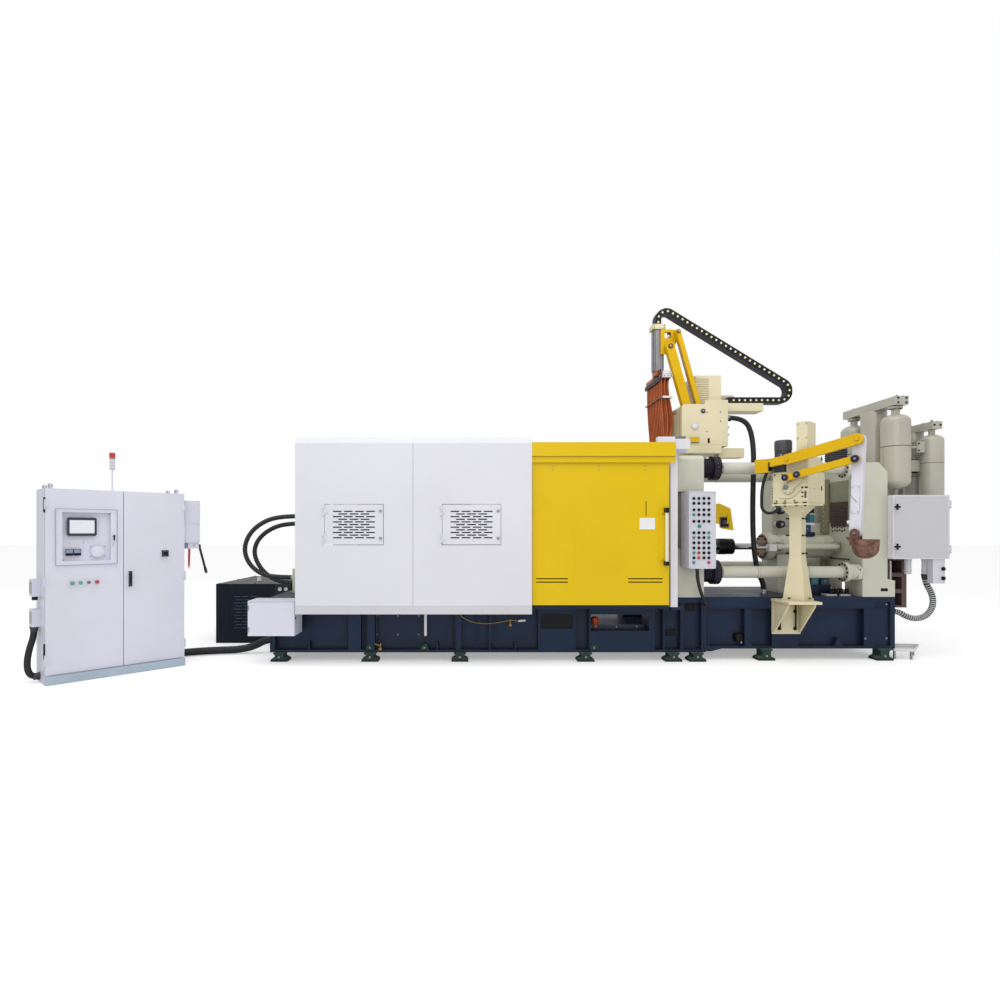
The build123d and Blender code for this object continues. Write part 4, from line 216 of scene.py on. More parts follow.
# Directions along which turned forms run.
UP, DOWN, FRONT, BACK = (0, 0, 1), (0, 0, -1), (0, -1, 0), (0, 1, 0)
RIGHT, LEFT = (1, 0, 0), (-1, 0, 0)


def build(name, shapes, body="machine", place=None, edge=1.0):
    """One piece in millimetres, its sharp edges broken: each finish in shapes is followed by the forms that have it."""
    mesh = bmesh.new()
    finishes = []
    for item in shapes:
        if isinstance(item, bpy.types.Material):
            finish = item
            if finish not in finishes:
                finishes.append(finish)
            continue
        corners, faces = item
        made = [mesh.verts.new([c / 1000 for c in corner]) for corner in corners]
        for face in faces:
            mesh.faces.new([made[i] for i in face]).material_index = finishes.index(finish)
    bmesh.ops.recalc_face_normals(mesh, faces=mesh.faces)
    if edge:
        sharp = [e for e in mesh.edges if len(e.link_faces) == 2 and e.calc_face_angle(0) > math.radians(35)]
        bmesh.ops.bevel(mesh, geom=sharp, offset=edge / 1000, segments=1, affect="EDGES", clamp_overlap=True)
    if place:
        mesh.transform(place)
    data = bpy.data.meshes.new(name)
    mesh.to_mesh(data)
    mesh.free()
    data.shade_smooth()
    data.set_sharp_from_angle(angle=math.radians(32))
    for finish in finishes:
        data.materials.append(finish)
    made = bpy.data.objects.new(name, data)
    bpy.context.scene.collection.objects.link(made)
    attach(made, body)
    return made


# Nitrile rubber, extruded: a dull black with a faint sheen and a dusty bloom on top.
hose_rubber = coated("nitrile_hose_rubber", "#15161a", 0.52, vary=0.25, vary_mm=90, grain_mm=3, grain=0.15, dust=0.08)
# Zinc-plated steel, crimped: bright grey with soft reflections.
plated_steel = coated("zinc_plated_steel", "#a9abae", 0.34, metal=1.0, vary=0.06, vary_mm=60, grain_mm=2, grain=0.05)
# Grey nylon, moulded: the collars of cable glands.
gland_nylon = coated("grey_gland_nylon", "#3a3c40", 0.5, vary=0.08, vary_mm=40, grain_mm=2, grain=0.06)


# Frames of the two units that stand at an angle to the machine, in metres.
ladler_place = Matrix.Translation((3.057, -0.840, 0)) @ Matrix.Rotation(math.radians(-50.0), 4, "Z")
cabinet_place = Matrix.Translation((-4.840, -1.860, 0)) @ Matrix.Rotation(math.radians(44.7), 4, "Z")


def ladler_point(x, y, z):
    """A point of the ladler's own frame, in the machine's metres."""
    return tuple(ladler_place @ Vector((x, y, z)))


def cabinet_point(x, y, z):
    """A point of the cabinet's own frame, in the machine's metres."""
    return tuple(cabinet_place @ Vector((x, y, z)))


# White nylon strip, wound as a spiral round the conduit below the terminal box.
spiral_nylon = coated("white_spiral_nylon", "#d8dade", 0.45, vary=0.06, vary_mm=40, grain_mm=2, grain=0.05)


def winding(curve, radius, name, finish, length):
    """Raised bands at an even pitch along a hose, on points read from its own spline."""
    pitch, margin = 0.024, 2 * radius / 1000
    bare = curve.copy()
    bare.bevel_depth = 0
    holder = bpy.data.objects.new(name, bare)
    line = bpy.data.meshes.new_from_object(holder)
    spots = [vert.co.copy() for vert in line.vertices]
    bpy.data.objects.remove(holder)
    bands, travelled, due = [], 0.0, margin
    for before, here in zip(spots, spots[1:]):
        travelled += (here - before).length
        if due <= travelled < length - margin:
            due = max(due, travelled) + pitch
            profile = [(0, radius), (2, radius + 2.5), (9, radius + 2.5), (11, radius)]
            bands += [finish, turned(profile, here * 1000, here - before, 28)]
    return build(name, bands, edge=0)


def hose(name, points, diameter, length, ends=plated_steel, spiral=None, grip=1.0):
    """A hose on its route's spline, with a crimped ferrule at each end."""
    curve = bpy.data.curves.new(name, "CURVE")
    curve.dimensions = "3D"
    spline = curve.splines.new("NURBS")
    spline.points.add(len(points) - 1)
    for spot, point in zip(spline.points, points):
        spot.co = (*point, 1)
    spline.order_u = 3
    spline.use_endpoint_u = True
    spline.resolution_u = 16
    curve.bevel_depth = diameter / 2
    curve.bevel_resolution = 6
    curve.use_fill_caps = True
    curve.materials.append(hose_rubber)
    tube = bpy.data.objects.new(name + "_rubber", curve)
    bpy.context.scene.collection.objects.link(tube)
    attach(tube, "machine")
    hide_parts(name)
    wide = diameter * 1000
    collar = wide * grip
    fittings = []
    if spiral:
        fittings.append(winding(curve, wide / 2, name + "_spiral", spiral, length))
    for end, inner in ((points[0], points[1]), (points[-1], points[-2])):
        along = Vector(inner) - Vector(end)
        start = Vector(end) * 1000
        nut = stud(start, along, collar * 0.68, wide * 0.32, wide * 0.36, collar * 0.62, 6)
        sleeve = turned(
            [
                (wide * 0.3, collar * 0.56), (wide * 0.8, collar * 0.58), (wide * 0.86, collar * 0.55),
                (wide * 0.9, collar * 0.51),
            ],
            start, along,
        )
        fittings.append(build(f"{name}_ferrule_{len(fittings)}", [ends, nut, sleeve]))


hose(
    "clamp_hose_outer",
    [
        (-2.8503, -0.090, 1.700), (-3.050, -0.090, 1.700), (-3.280, -0.085, 1.650), (-3.480, -0.080, 1.500),
        (-3.565, -0.075, 1.290), (-3.500, -0.070, 1.090), (-3.330, -0.070, 0.955), (-3.110, -0.070, 0.925),
        (-2.9103, -0.070, 0.925),
    ],
    0.055, 1.734, spiral=gland_nylon,
)
hose(
    "clamp_hose_inner",
    [
        (-2.8503, 0.060, 1.610), (-3.020, 0.060, 1.610), (-3.220, 0.055, 1.565), (-3.400, 0.050, 1.440),
        (-3.480, 0.045, 1.270), (-3.430, 0.040, 1.090), (-3.290, 0.040, 0.930), (-3.100, 0.045, 0.845),
        (-2.9103, 0.045, 0.845),
    ],
    0.055, 1.557, spiral=gland_nylon,
)
hose(
    "sprayer_hose",
    [
        (2.4723, -0.260, 2.918), (2.600, -0.260, 2.918), (2.745, -0.265, 2.860), (2.800, -0.275, 2.700),
        (2.815, -0.290, 2.480), (2.808, -0.300, 2.230), (2.800, -0.300, 1.960), (2.798, -0.300, 1.690),
        (2.805, -0.298, 1.430), (2.828, -0.295, 1.180), (2.872, -0.292, 0.990), (2.940, -0.290, 0.850),
        (2.940, -0.290, 0.7403),
    ],
    0.060, 2.423,
)
hose(
    "ladler_hose",
    [
        ladler_point(-0.2292, -0.061, 2.250), ladler_point(-0.271, -0.061, 2.250),
        ladler_point(-0.304, -0.097, 2.200), ladler_point(-0.322, -0.125, 2.120), ladler_point(-0.331, -0.150, 2.030),
        ladler_point(-0.334, -0.165, 1.940), ladler_point(-0.331, -0.172, 1.860), ladler_point(-0.329, -0.176, 1.772),
        ladler_point(-0.275, -0.178, 1.718), ladler_point(-0.199, -0.178, 1.718), ladler_point(-0.145, -0.178, 1.758),
        ladler_point(-0.145, -0.178, 1.7977),
    ],
    0.034, 0.795, ends=gland_nylon,
)
hose(
    "terminal_hose",
    [
        (4.725, -0.560, 0.9997), (4.725, -0.560, 0.905), (4.790, -0.560, 0.800), (4.825, -0.560, 0.690),
        (4.805, -0.560, 0.580), (4.730, -0.560, 0.495), (4.620, -0.560, 0.465), (4.505, -0.560, 0.490),
        (4.395, -0.560, 0.560), (4.2953, -0.560, 0.560),
    ],
    0.064, 1.005, ends=gland_nylon, spiral=spiral_nylon,
)
hose(
    "panel_cable",
    [
        (1.890, -0.880, 1.0897), (1.890, -0.880, 1.000), (1.912, -0.865, 0.900), (1.948, -0.840, 0.805),
        (1.990, -0.815, 0.720), (2.028, -0.790, 0.655), (2.028, -0.7203, 0.655),
    ],
    0.038, 0.536, ends=gland_nylon,
)
hose(
    "cabinet_cable",
    [
        cabinet_point(-0.045, 0.255, 0.5597), cabinet_point(-0.045, 0.255, 0.470),
        cabinet_point(-0.085, 0.250, 0.340), cabinet_point(-0.105, 0.245, 0.220), cabinet_point(-0.100, 0.242, 0.120),
        cabinet_point(-0.062, 0.240, 0.060), cabinet_point(-0.0003, 0.240, 0.060),
    ],
    0.060, 0.573, ends=gland_nylon,
)
hose(
    "floor_cable",
    [
        cabinet_point(1.180, 0.4203, 0.050), cabinet_point(1.180, 0.550, 0.050), (-4.060, -0.420, 0.048),
        (-3.800, -0.330, 0.048), (-3.560, -0.300, 0.048), (-3.370, -0.275, 0.080), (-3.190, -0.260, 0.180),
        (-3.0203, -0.260, 0.180),
    ],
    0.090, 1.572, ends=gland_nylon, grip=0.76,
)


# Levelling feet: cast iron wedge mounts with a dull green coat, on rubber pads, eight to each side.
# A screw in each wedge sets its height; the coat has a sandy skin and is dusty on its ledges.
def dress(finish, *names):
    """Gives CAD nodes their finish."""
    for name in names:
        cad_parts[name].data.materials.clear()
        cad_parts[name].data.materials.append(finish)


def slab(x, y, z):
    """Corners and faces of a block between limits."""
    corners = [(i, j, k) for i in x for j in y for k in z]
    return corners, [(0, 1, 3, 2), (4, 6, 7, 5), (0, 4, 5, 1), (2, 3, 7, 6), (0, 2, 6, 4), (1, 5, 7, 3)]


def cut(points, limits, across="y"):
    """Corners and faces of a plate cut to an outline, between two limits along the axis across it."""
    corners = []
    for limit in limits:
        for first, second in points:
            corners.append(
                {"x": (limit, first, second), "y": (first, limit, second), "z": (first, second, limit)}[across],
            )
    count = len(points)
    faces = [tuple(range(count)), tuple(range(count, 2 * count))]
    faces += [(i, (i + 1) % count, count + (i + 1) % count, count + i) for i in range(count)]
    return corners, faces


def hex_bolt(place, along, size=22.0):
    """A hexagon head on a washer."""
    washer, half = size * 0.72, size / 2
    profile = [(0, washer), (size * 0.1, washer), (size * 0.1, half), (half, half), (size * 0.58, size * 0.4)]
    return turned(profile, place, along, 6)


def cap_screw(place, along, size=16.0):
    """A round socket head."""
    half, bore, face = size / 2, size * 0.25, size * 0.55
    profile = [(0, half), (half, half), (face, size * 0.42), (face, bore), (bore, bore)]
    return turned(profile, place, along, 14)


def ring(centre, plane, radius, count, first=0):
    """Spots spaced evenly round a centre in a plane such as "xz", the first at an angle from its first axis."""
    spots = []
    for i in range(count):
        angle = math.radians(first + 360 / count * i)
        spot = list(centre)
        spot["xyz".index(plane[0])] += radius * math.cos(angle)
        spot["xyz".index(plane[1])] += radius * math.sin(angle)
        spots.append(tuple(spot))
    return spots


def strands(points, depth, radius, sides=8, past=0):
    """Round bars from point to point of a line that runs upright at one depth."""
    bars = []
    for (x, z), (end_x, end_z) in zip(points, points[1:]):
        run = Vector((end_x - x, 0, end_z - z))
        bars.append(rod((x, depth, z), run, radius, run.length + past, sides))
    return bars


foot_iron = coated("green_coated_cast_iron", "#173b2e", 0.6, vary=0.22, vary_mm=120, grain_mm=5, grain=0.35, dust=0.3)
pad_rubber = coated("black_pad_rubber", "#1c1b22", 0.7, vary=0.15, vary_mm=90, grain_mm=4, grain=0.2, dust=0.2)
dress(foot_iron, "levelling_feet")
FEET = ((-2900, 690), (-1850, 690), (-810, 690), (650, 690), (1665, 690), (1943, 690), (2770, 630), (4150, 630))
pads, screws = [], []
for x, y in FEET:
    for side in (-1, 1):
        front = side * (y + 75)
        pads += [pad_rubber, slab((x - 98, x + 98), (side * y - 78, side * y + 78), (0, 20))]
        screws += [
            plated_steel, hex_bolt((x, front, 52), (0, side, 0), 20),
            turned([(-30, 9), (4, 9)], (x, front + side * 4, 52), (0, side, 0), 12),
        ]
build("foot_pads", pads, edge=2)
build("foot_screws", screws)


# Base frames: boxes welded from plate and painted dark blue, with ribs between their flanges.
# The enamel has a soft shine, painted shade darkening its corners and dust on its flanges.
base_enamel = coated(
    "dark_blue_enamel", "#182a44", 0.4, vary=0.16, vary_mm=500, grain_mm=5, grain=0.07, dust=0.03, corner_shade=0.5,
    shine=0.25,
)
# Also the painted highlight on the oil tank's louvre hoods.
blue_enamel_and_highlight = coated(
    "bright_blue_enamel_and_painted_highlight", "#2c4f72", 0.4, vary=0.12, vary_mm=300, grain_mm=5, grain=0.06, dust=0.15, corner_shade=0.4,
)
# Besides real black parts, this black also paints shade: louvre slots, the door header's shadow line and the gap at the
# upper arm's end block.
black_plastic_and_shade = coated(
    "black_plastic_and_painted_shade", "#08080b", 0.45, vary=0.12, vary_mm=60, grain_mm=2, grain=0.12, shine=0.25,
)
brass = coated("turned_brass", "#a88a48", 0.3, metal=1.0, vary=0.1, vary_mm=30, grain_mm=1.5, grain=0.06)
signal_orange = coated("orange_enamel", "#d9541c", 0.4, vary=0.12, vary_mm=90, grain_mm=4, grain=0.08, corner_shade=0.3)
white_pvc = coated("white_pvc", "#e4e4e6", 0.38, vary=0.05, vary_mm=90, grain_mm=2, grain=0.04)
dress(base_enamel, "clamp_base", "shot_base")
CLAMP_HALF, SHOT_HALF, WEB_DEPTH = 720, 660, 70
for side, label in ((-1, "front"), (1, "back")):
    face = CLAMP_HALF * side
    web = face - side * WEB_DEPTH
    weld = [
        base_enamel,
        *(
            turned([(0, 5), (1, 6), (549, 6), (550, 5)], (x, face - side * 2, 131), UP, 8)
            for x in (
                -3000, -2570, -2130, -1940, -1910, -1780, -890, -620, -448, 120, 520, 700, 1420, 1562, 1772, 2030,
            )
        ),
    ]
    for x in (-448, -1080, -2570, -170):
        rib = [(x, 131), (x + 16, 131), (x + 16, 205), (x + 10, 222), (x, 222)]
        weld += [base_enamel, cut(rib, (web, face))]
    weld += [
        base_enamel,
        *(
            slab((low, high), (web - side * 2, web + side * 4), (131, 148))
            for low, high in ((-2960, -2110), (-1800, -860), (-430, 100))
        ),
    ]
    build(f"clamp_base_ribs_{label}", weld, edge=1.5)
    cover = [
        base_enamel, slab((-1797, -1274), sorted((web, web + side * 6)), (279, 534)),
        plated_steel,
        *(hex_bolt((x, web + side * 6, z), (0, side, 0), 14) for x in (-1780, -1536, -1291) for z in (296, 517)),
    ]
    build(f"base_cover_{label}", cover, edge=1.5)
    opening = [(134, 392), (152, 374), (488, 374), (506, 392), (506, 527), (488, 545), (152, 545), (134, 527)]
    window = [
        black_plastic_and_shade, cut(opening, sorted((face, face + side * 3))),
        slab((1607, 1716), sorted((web, web + side * 12)), (283, 360)),
        slab((1842, 1945), sorted((web, web + side * 12)), (572, 654)),
    ]
    build(f"base_windows_{label}", window, edge=3)
    wedges = []
    for x, z in ((-1855, 131), (-1221, 131), (750, 131)):
        shape = [(x - 48, z), (x + 48, z), (x + 40, z + 42), (x + 22, z + 58), (x - 22, z + 58), (x - 40, z + 42)]
        wedges += [
            foot_iron, cut(shape, sorted((face - side * 46, face + side * 12))),
            plated_steel, hex_bolt((x, face + side * 12, z + 26), (0, side, 0), 18),
        ]
    build(f"base_wedges_{label}", wedges, edge=2)
grease = [
    brass, turned([(0, 18), (26, 18), (26, 10), (40, 10)], (-1727, -760, 152), FRONT),
    rod((-1795, -752, 205), (1, 0, -0.35), 7, 70, 10), rod((-1727, -752, 150), UP, 7, 60, 10),
    turned([(0, 16), (24, 16), (24, 9), (36, 9)], (-226, -752, 425), FRONT), rod((-226, -745, 425), UP, 6, 60, 10),
    white_pvc, turned([(0, 9), (20, 12), (70, 12), (90, 8)], (-135, -748, 468), (1, 0, 0.1), 12),
]
pipe = [
    (-800, 532), (-760, 500), (-700, 468), (-620, 445), (-520, 437), (-420, 440), (-330, 455), (-226, 478),
    (-140, 468),
]
grease += [brass, *strands(pipe, -742, 5)]
build("grease_line", grease)
pole = [white_pvc, turned([(0, 10), (8, 17), (236, 17), (256, 13)], (-1210, -705, 545), DOWN)]
build("base_white_tube", pole)
tray = [
    signal_orange, turned([(0, 34), (10, 46), (120, 46), (132, 38), (138, 20)], (800, -520, 352), UP, 20),
    blue_enamel_and_highlight, slab((727, 1383), (-560, -548), (349, 398)),
    plated_steel, *(cap_screw((x, -560, 375), FRONT, 22) for x in (800, 1050, 1290)),
]
build("scrap_tray_fittings", tray)
for side, label in ((-1, "front"), (1, "back")):
    face = SHOT_HALF * side
    web = face - side * WEB_DEPTH
    trim = [
        base_enamel,
        *(
            turned([(0, 5), (1, 6), (439, 6), (440, 5)], (x, face - side * 2, 160), UP, 8)
            for x in (2100, 2540, 2612, 3940, 4018)
        ),
        slab((2110, 2530), (web - side * 2, web + side * 3), (160, 178)),
        slab((2620, 3930), (web - side * 2, web + side * 3), (160, 178)),
        cut([(3588, 161), (3700, 161), (3655, 250), (3628, 250)], sorted((web, web + side * 60))),
        slab((2056, 4290), sorted((face, face + side * 5)), (604, 612)),
    ]
    build(f"shot_base_ribs_{label}", trim, edge=1.5)
    bolts = [
        plated_steel,
        *(
            cap_screw((x, face - side * (2 if x < 4000 else 25), z), (0, side, 0), 24)
            for x, z in ((3942, 250), (4205, 650), (4205, 250))
        ),
    ]
    build(f"shot_base_bolts_{label}", bolts)
pump = [
    black_plastic_and_shade, turned([(0, 30), (12, 58), (90, 58), (104, 40)], (2485, -600, 205), UP, 20),
    plated_steel, rod((2500, -640, 190), UP, 12, 70, 12),
]
build("base_grease_pump", pump)


# Platens: three cast iron blocks, milled on their faces and painted stone grey elsewhere.
# They stand on the base; the die faces are bare metal with a fine milling grain.
platen_enamel = coated(
    "stone_grey_enamel", "#cfcfbf", 0.42, vary=0.06, vary_mm=500, grain_mm=6, grain=0.12, dust=0.1, corner_shade=0.35,
)
milled_iron = coated("milled_cast_iron", "#8b8d90", 0.38, metal=1.0, vary=0.12, vary_mm=250, grain_mm=2.5, grain=0.12)
black_screws = coated(
    "blackened_screw_steel", "#1b1b1f", 0.42, metal=0.6, vary=0.15, vary_mm=40, grain_mm=2, grain=0.08,
)
dress(platen_enamel, "fixed_platen", "moving_platen", "rear_platen")
for name, x, out in (("fixed", 1630, -1), ("moving", 330, 1)):
    lands = ((930, 1118), (1162, 1798), (1842, 2118), (2162, 2350))
    face = [
        milled_iron, *(slab(sorted((x, x + out * 2)), (-690, 690), land) for land in lands),
        black_screws,
        *(
            rod((x + out * 2, y, z), (out, 0, 0), 14, 2.5, 16)
            for y in (-300, -150, 150, 300) for z in (1000, 1300, 1960, 2250)
        ),
    ]
    build(f"{name}_platen_face", face, edge=0.8)


# Tie bars: chromed steel columns through the platens, ground and polished.
# Their nuts are blackened and clamped by a ring of cap screws.
chrome = coated("hard_chrome", "#c9cacc", 0.16, metal=1.0, vary=0.04, vary_mm=200, grain_mm=2, grain=0.03)
blackened = coated("blackened_nut_steel", "#2b2833", 0.4, metal=0.75, vary=0.14, vary_mm=90, grain_mm=3, grain=0.12)
dress(chrome, "tie_bars")
dress(blackened, "tie_bar_nuts")
TIE_SPOTS = [(y, z) for y in (-580, 580) for z in (1025, 2255)]
nut_screws = []
for y, z in TIE_SPOTS:
    nut_screws += [plated_steel, *(cap_screw(spot, RIGHT, 26) for spot in ring((2244, y, z), "yz", 118, 12, 15))]
    around = ring((2202, y, z), "yz", 142, 18)
    nut_screws += [black_screws, *(rod(spot, (0, spot[1] - y, spot[2] - z), 8, 4, 12) for spot in around)]
build("tie_bar_nut_screws", nut_screws)


# Toggle: cast steel links on hardened pins, oiled and bare, behind the guard.
# Each pin is held by a round keeper with six screws.
oiled_cast = coated(
    "oiled_cast_steel", "#6d6e70", 0.36, metal=0.9, vary=0.2, vary_mm=200, grain_mm=6, grain=0.2, corner_shade=0.4,
)
dress(oiled_cast, "toggle_links")
keepers = []
for side in (-1, 1):
    for x, z in ((-1490, 2040), (-1490, 1240), (-880, 1900), (-880, 1380), (-190, 2040), (-190, 1240)):
        keepers += [plated_steel, stud((x, side * 315, z), (0, side, 0), 62, 10, 14, 58, 28)]
        around = ring((x, side * 329, z), "xz", 46, 6)
        keepers += [black_screws, *(cap_screw(spot, (0, side, 0), 13) for spot in around)]
build("toggle_keepers", keepers)


# Clamp cylinder: a steel tube with a bolted head behind the rear platen, painted as the platens are.
# Its valve block is bare steel with plugs.
dress(platen_enamel, "clamp_cylinder")
head = [
    black_screws, *(cap_screw(spot, LEFT, 24) for spot in ring((-2850, 0, 1640), "yz", 165, 16)),
    milled_iron, stud((-2850, 0, 1640), LEFT, 90, 16, 22, 82, 36),
    rod((-2500, 0, 1640), RIGHT, 164, 24, 40), slab((-2600, -2480), (-70, 70), (1798, 1856)),
    plated_steel, *(hex_bolt((x, 0, 1856), UP, 26) for x in (-2580, -2500)),
]
build("clamp_cylinder_head", head)


# Guards: bent sheet, powder coated white, with a fold along the top and a bent sill below, painted a greyer white as
# shade.
# The front one has two louvred access doors; the seam between its two panels shows as a line.
white_powder = coated("white_powder_coat", "#dfdfe6", 0.36, vary=0.025, vary_mm=900, grain_mm=5, grain=0.1, dust=0.06)
# A greyer copy of the white coat, painted as shade: on the guards' sills, the terminal box door and a ring on the
# sprayer housing.
painted_shade_white = coated(
    "shaded_white_powder_coat", "#cfcfd4", 0.4, vary=0.03, vary_mm=700, grain_mm=5, grain=0.1, dust=0.08,
)
dress(white_powder, "front_guard", "rear_guard")
dress(white_powder, "left_access_door", "right_access_door")
# The sill strip is painted shade, a greyer white than the guard.
seams = [
    painted_shade_white, slab((-2618, -15), (-1102, -1100), (594, 690)),
    black_plastic_and_shade, slab((-1323, -1321), (-1100.6, -1095), (600, 2470)),
]
build("front_guard_trim", seams, edge=0.5)
for name, centre in (("left_access_door", -1971), ("right_access_door", -678)):
    trim = []
    for z in (1432, 1732):
        lock_x = centre + 320 - 28
        trim += [
            plated_steel, stud((lock_x, -1110, z), FRONT, 17, 4, 5, 14, 20),
            black_plastic_and_shade, rod((lock_x, -1115, z), FRONT, 6, 3, 3),
        ]
    for row in range(11):
        row_z = 1582 + (row - 5) * 29
        count = 4 if row % 2 == 0 else 3
        for slot in range(count):
            x = centre + (slot - (count - 1) / 2) * 122
            hood = [(-1104, row_z + 13), (-1108, row_z + 10), (-1109, row_z + 7), (-1104, row_z + 7)]
            # The black strips under the hoods are painted shade for the dark slots.
            trim += [
                white_powder, cut(hood, (x - 50, x + 50), "x"),
                black_plastic_and_shade, slab((x - 46, x + 46), (-1104.8, -1103), (row_z - 7, row_z + 7)),
            ]
    build(f"{name}_hoods", trim, name, edge=0.4)
rear_trim = []
for x in (-2560, -1960, -1380, -1260, -680, -80):
    rear_trim += [
        white_powder, stud((x, 1100, 2440), BACK, 9, 4, 6, 6, 16),
        stud((x, 1100, 680), BACK, 9, 4, 6, 6, 16),
    ]
# The rear sill strip is painted shade as well.
rear_trim += [painted_shade_white, slab((-2618, -15), (1100, 1102), (594, 690))]
build("rear_guard_trim", rear_trim, edge=0.5)


# Sliding door: a steel pan painted yellow, hung on two wheels, with a white tube for a handle.
# Pairs of dark stripes cross its foot; a blank white plate is fixed to it beside the handle.
door_enamel = coated(
    "yellow_gloss_enamel", "#e3bf00", 0.3, vary=0.03, vary_mm=700, grain_mm=8, grain=0.05, dust=0.05, shine=0.3,
)
stripe_paint = coated("dark_stripe_paint", "#15150e", 0.4, vary=0.1, vary_mm=90, grain_mm=3, grain=0.05, shine=0.2)
blank_white = coated("blank_white_plate", "#ececee", 0.4, vary=0.03, vary_mm=120, grain_mm=3, grain=0.04)
dress(door_enamel, "sliding_door", "door_header")
panel = [
    door_enamel, slab((1399, 1506), (-1062, -1054), (1180, 1770)),
    blank_white, slab((1182, 1354), (-1056.5, -1054), (1528, 1656)),
    black_plastic_and_shade, slab((1251, 1259), (-1058, -1054), (1677, 1843)),
    plated_steel, *(cap_screw((x, -1054, z), FRONT, 14) for x in (224.747, 734.273, 1243.8) for z in (2189, 2229)),
    stripe_paint,
    *(
        slab(x, (-1055, -1053.5), (z - 7, z + 7))
        for x in ((36.443, 390.897), (1055.497, 1438.749)) for z in (982.72, 945.059)
    ),
    white_pvc, rod((1470, -1102, 1170), UP, 17, 548, 20),
    black_plastic_and_shade, *(slab((1450, 1490), (-1124, -1054), (low, high)) for low, high in ((1130, 1176), (1712, 1768))),
    black_screws, *(cap_screw((x, -1062, z), FRONT, 13) for x in (1440, 1498) for z in (1190, 1700)),
    door_enamel, *(stud((x, -1054, 2290), FRONT, 12, 3, 5, 9, 14) for x in (60, 760, 1440)),
]
build("sliding_door_trim", panel, "sliding_door", edge=1.2)
wheels = []
for x in (200, 1300):
    wheels += [
        plated_steel, turned([(0, 30), (4, 30), (4, 27), (14, 27), (14, 30), (18, 30)], (x, -1036, 2400), BACK, 28),
        black_screws, hex_bolt((x, -1042, 2400), FRONT, 18),
    ]
build("sliding_door_wheels", wheels, "sliding_door", edge=0.5)


# Door header and guard posts: a folded cover over the rail, and white posts with angle brackets.
# The header is painted as the door is; its bolts and the clamp blocks on it are plated.
dress(white_powder, "guard_posts")
# The thin black strip along the header is a painted shadow line.
header = [black_plastic_and_shade, slab((-10, 1565), (-1093, -1091.5), (2331, 2334))]
build("door_header_trim", header, edge=0.4)
blocks = [
    white_powder, slab((1380, 1568), (-1086, -1000), (2491, 2552)),
    milled_iron, slab((1604, 1692), (-1064, -960), (2530, 2562)),
    plated_steel, *(hex_bolt((x, side * 860, 2418), UP, 26) for side in (-1, 1) for x in (1600, 1650, 1710)),
]
build("post_brackets", blocks)


# Operator panel: a light grey sheet box on two arms, with a recessed face full of push buttons.
# The buttons are moulded caps in round bezels, black and teal with three red ones.
panel_coat = coated("light_grey_powder_coat", "#d3d3dd", 0.4, vary=0.03, vary_mm=300, grain_mm=4, grain=0.1)
teal_cap = coated("teal_button_plastic", "#2f8a80", 0.3, vary=0.06, vary_mm=20, grain_mm=1.5, grain=0.03)
red_cap = coated("red_button_plastic", "#c22a20", 0.3, vary=0.06, vary_mm=20, grain_mm=1.5, grain=0.03)
dress(panel_coat, "operator_panel")
COLUMNS = (1804, 1859, 1916, 1971)
ROWS = (1875, 1820, 1748, 1693, 1619.5, 1564.5, 1492, 1437, 1379, 1322, 1267, 1212, 1159)
BIG = 9
TEAL = {(0, 3), (BIG, 5), (3, 6), (0, 7), (3, 7), (0, 10), (0, 12)}
RED = {(1, 10), (1, 11), (3, 12)}
buttons = []
for row, z in enumerate(ROWS):
    places = [(1865, BIG)] if row == 5 else [(x, column) for column, x in enumerate(COLUMNS)]
    if row == 12:
        places = [places[0], places[3]]
    for x, column in places:
        cap = teal_cap if (column, row) in TEAL else red_cap if (column, row) in RED else black_plastic_and_shade
        size = 19 if column == BIG else 16
        buttons += [
            plated_steel, turned([(0, size + 3), (4, size + 3), (5, size + 1), (5, size)], (x, -1001, z), FRONT, 20),
            cap, stud((x, -1001, z), FRONT, size, 11, 14, size - 2.5, 20),
        ]
build("operator_buttons", buttons, edge=0)
rim = [
    plated_steel, *(cap_screw((x, -1005, z), FRONT, 9) for z in (1107, 1938) for x in (1763, 2038)),
    *(hex_bolt((x, -740, z + 30), UP, 16) for z in (1270, 1775) for x in (1800, 1960)),
]
build("operator_panel_screws", rim)


# Shot frame: four rods from the tie bars to the end plate, painted stone grey with bolted rings.
# The end plate is a thick cut steel plate; its screws sit in bored recesses.
dress(platen_enamel, "shot_frame_rods", "shot_end_plate", "shot_cylinder", "shot_manifold")
rings = []
for y, z in TIE_SPOTS:
    rings += [
        black_screws, *(cap_screw(spot, LEFT, 22) for spot in ring((3730, y, z), "yz", 100, 12)),
        milled_iron, stud((2262, y, z), RIGHT, 71.5, 26, 28, 70, 32),
        platen_enamel,
        *(turned([(0, 69.7), (2, 72), (30, 72), (32, 69.7)], (x, y, z), RIGHT, 32) for x in (2700, 3300)),
    ]
build("shot_rod_rings", rings)
plate = []
for side in (-1, 1):
    plate += [
        black_screws,
        *(stud((x, side * 660, 822), (0, side, 0), 20, 2.5, 2.5, 12, 20) for x in (4146, 4192)),
        slab((4146, 4192), sorted((side * 660, side * 662)), (806, 838)),
    ]
plate += [
    black_screws, *(cap_screw((4250, y, 936), (0.05, 0, 1), 26) for y in (-560, -420, 420, 560)),
    *(turned([(0, 24), (6, 24), (6, 14), (14, 14)], (4000, y, 2317), UP, 20) for y in (-500, 0, 500)),
]
build("end_plate_screws", plate)


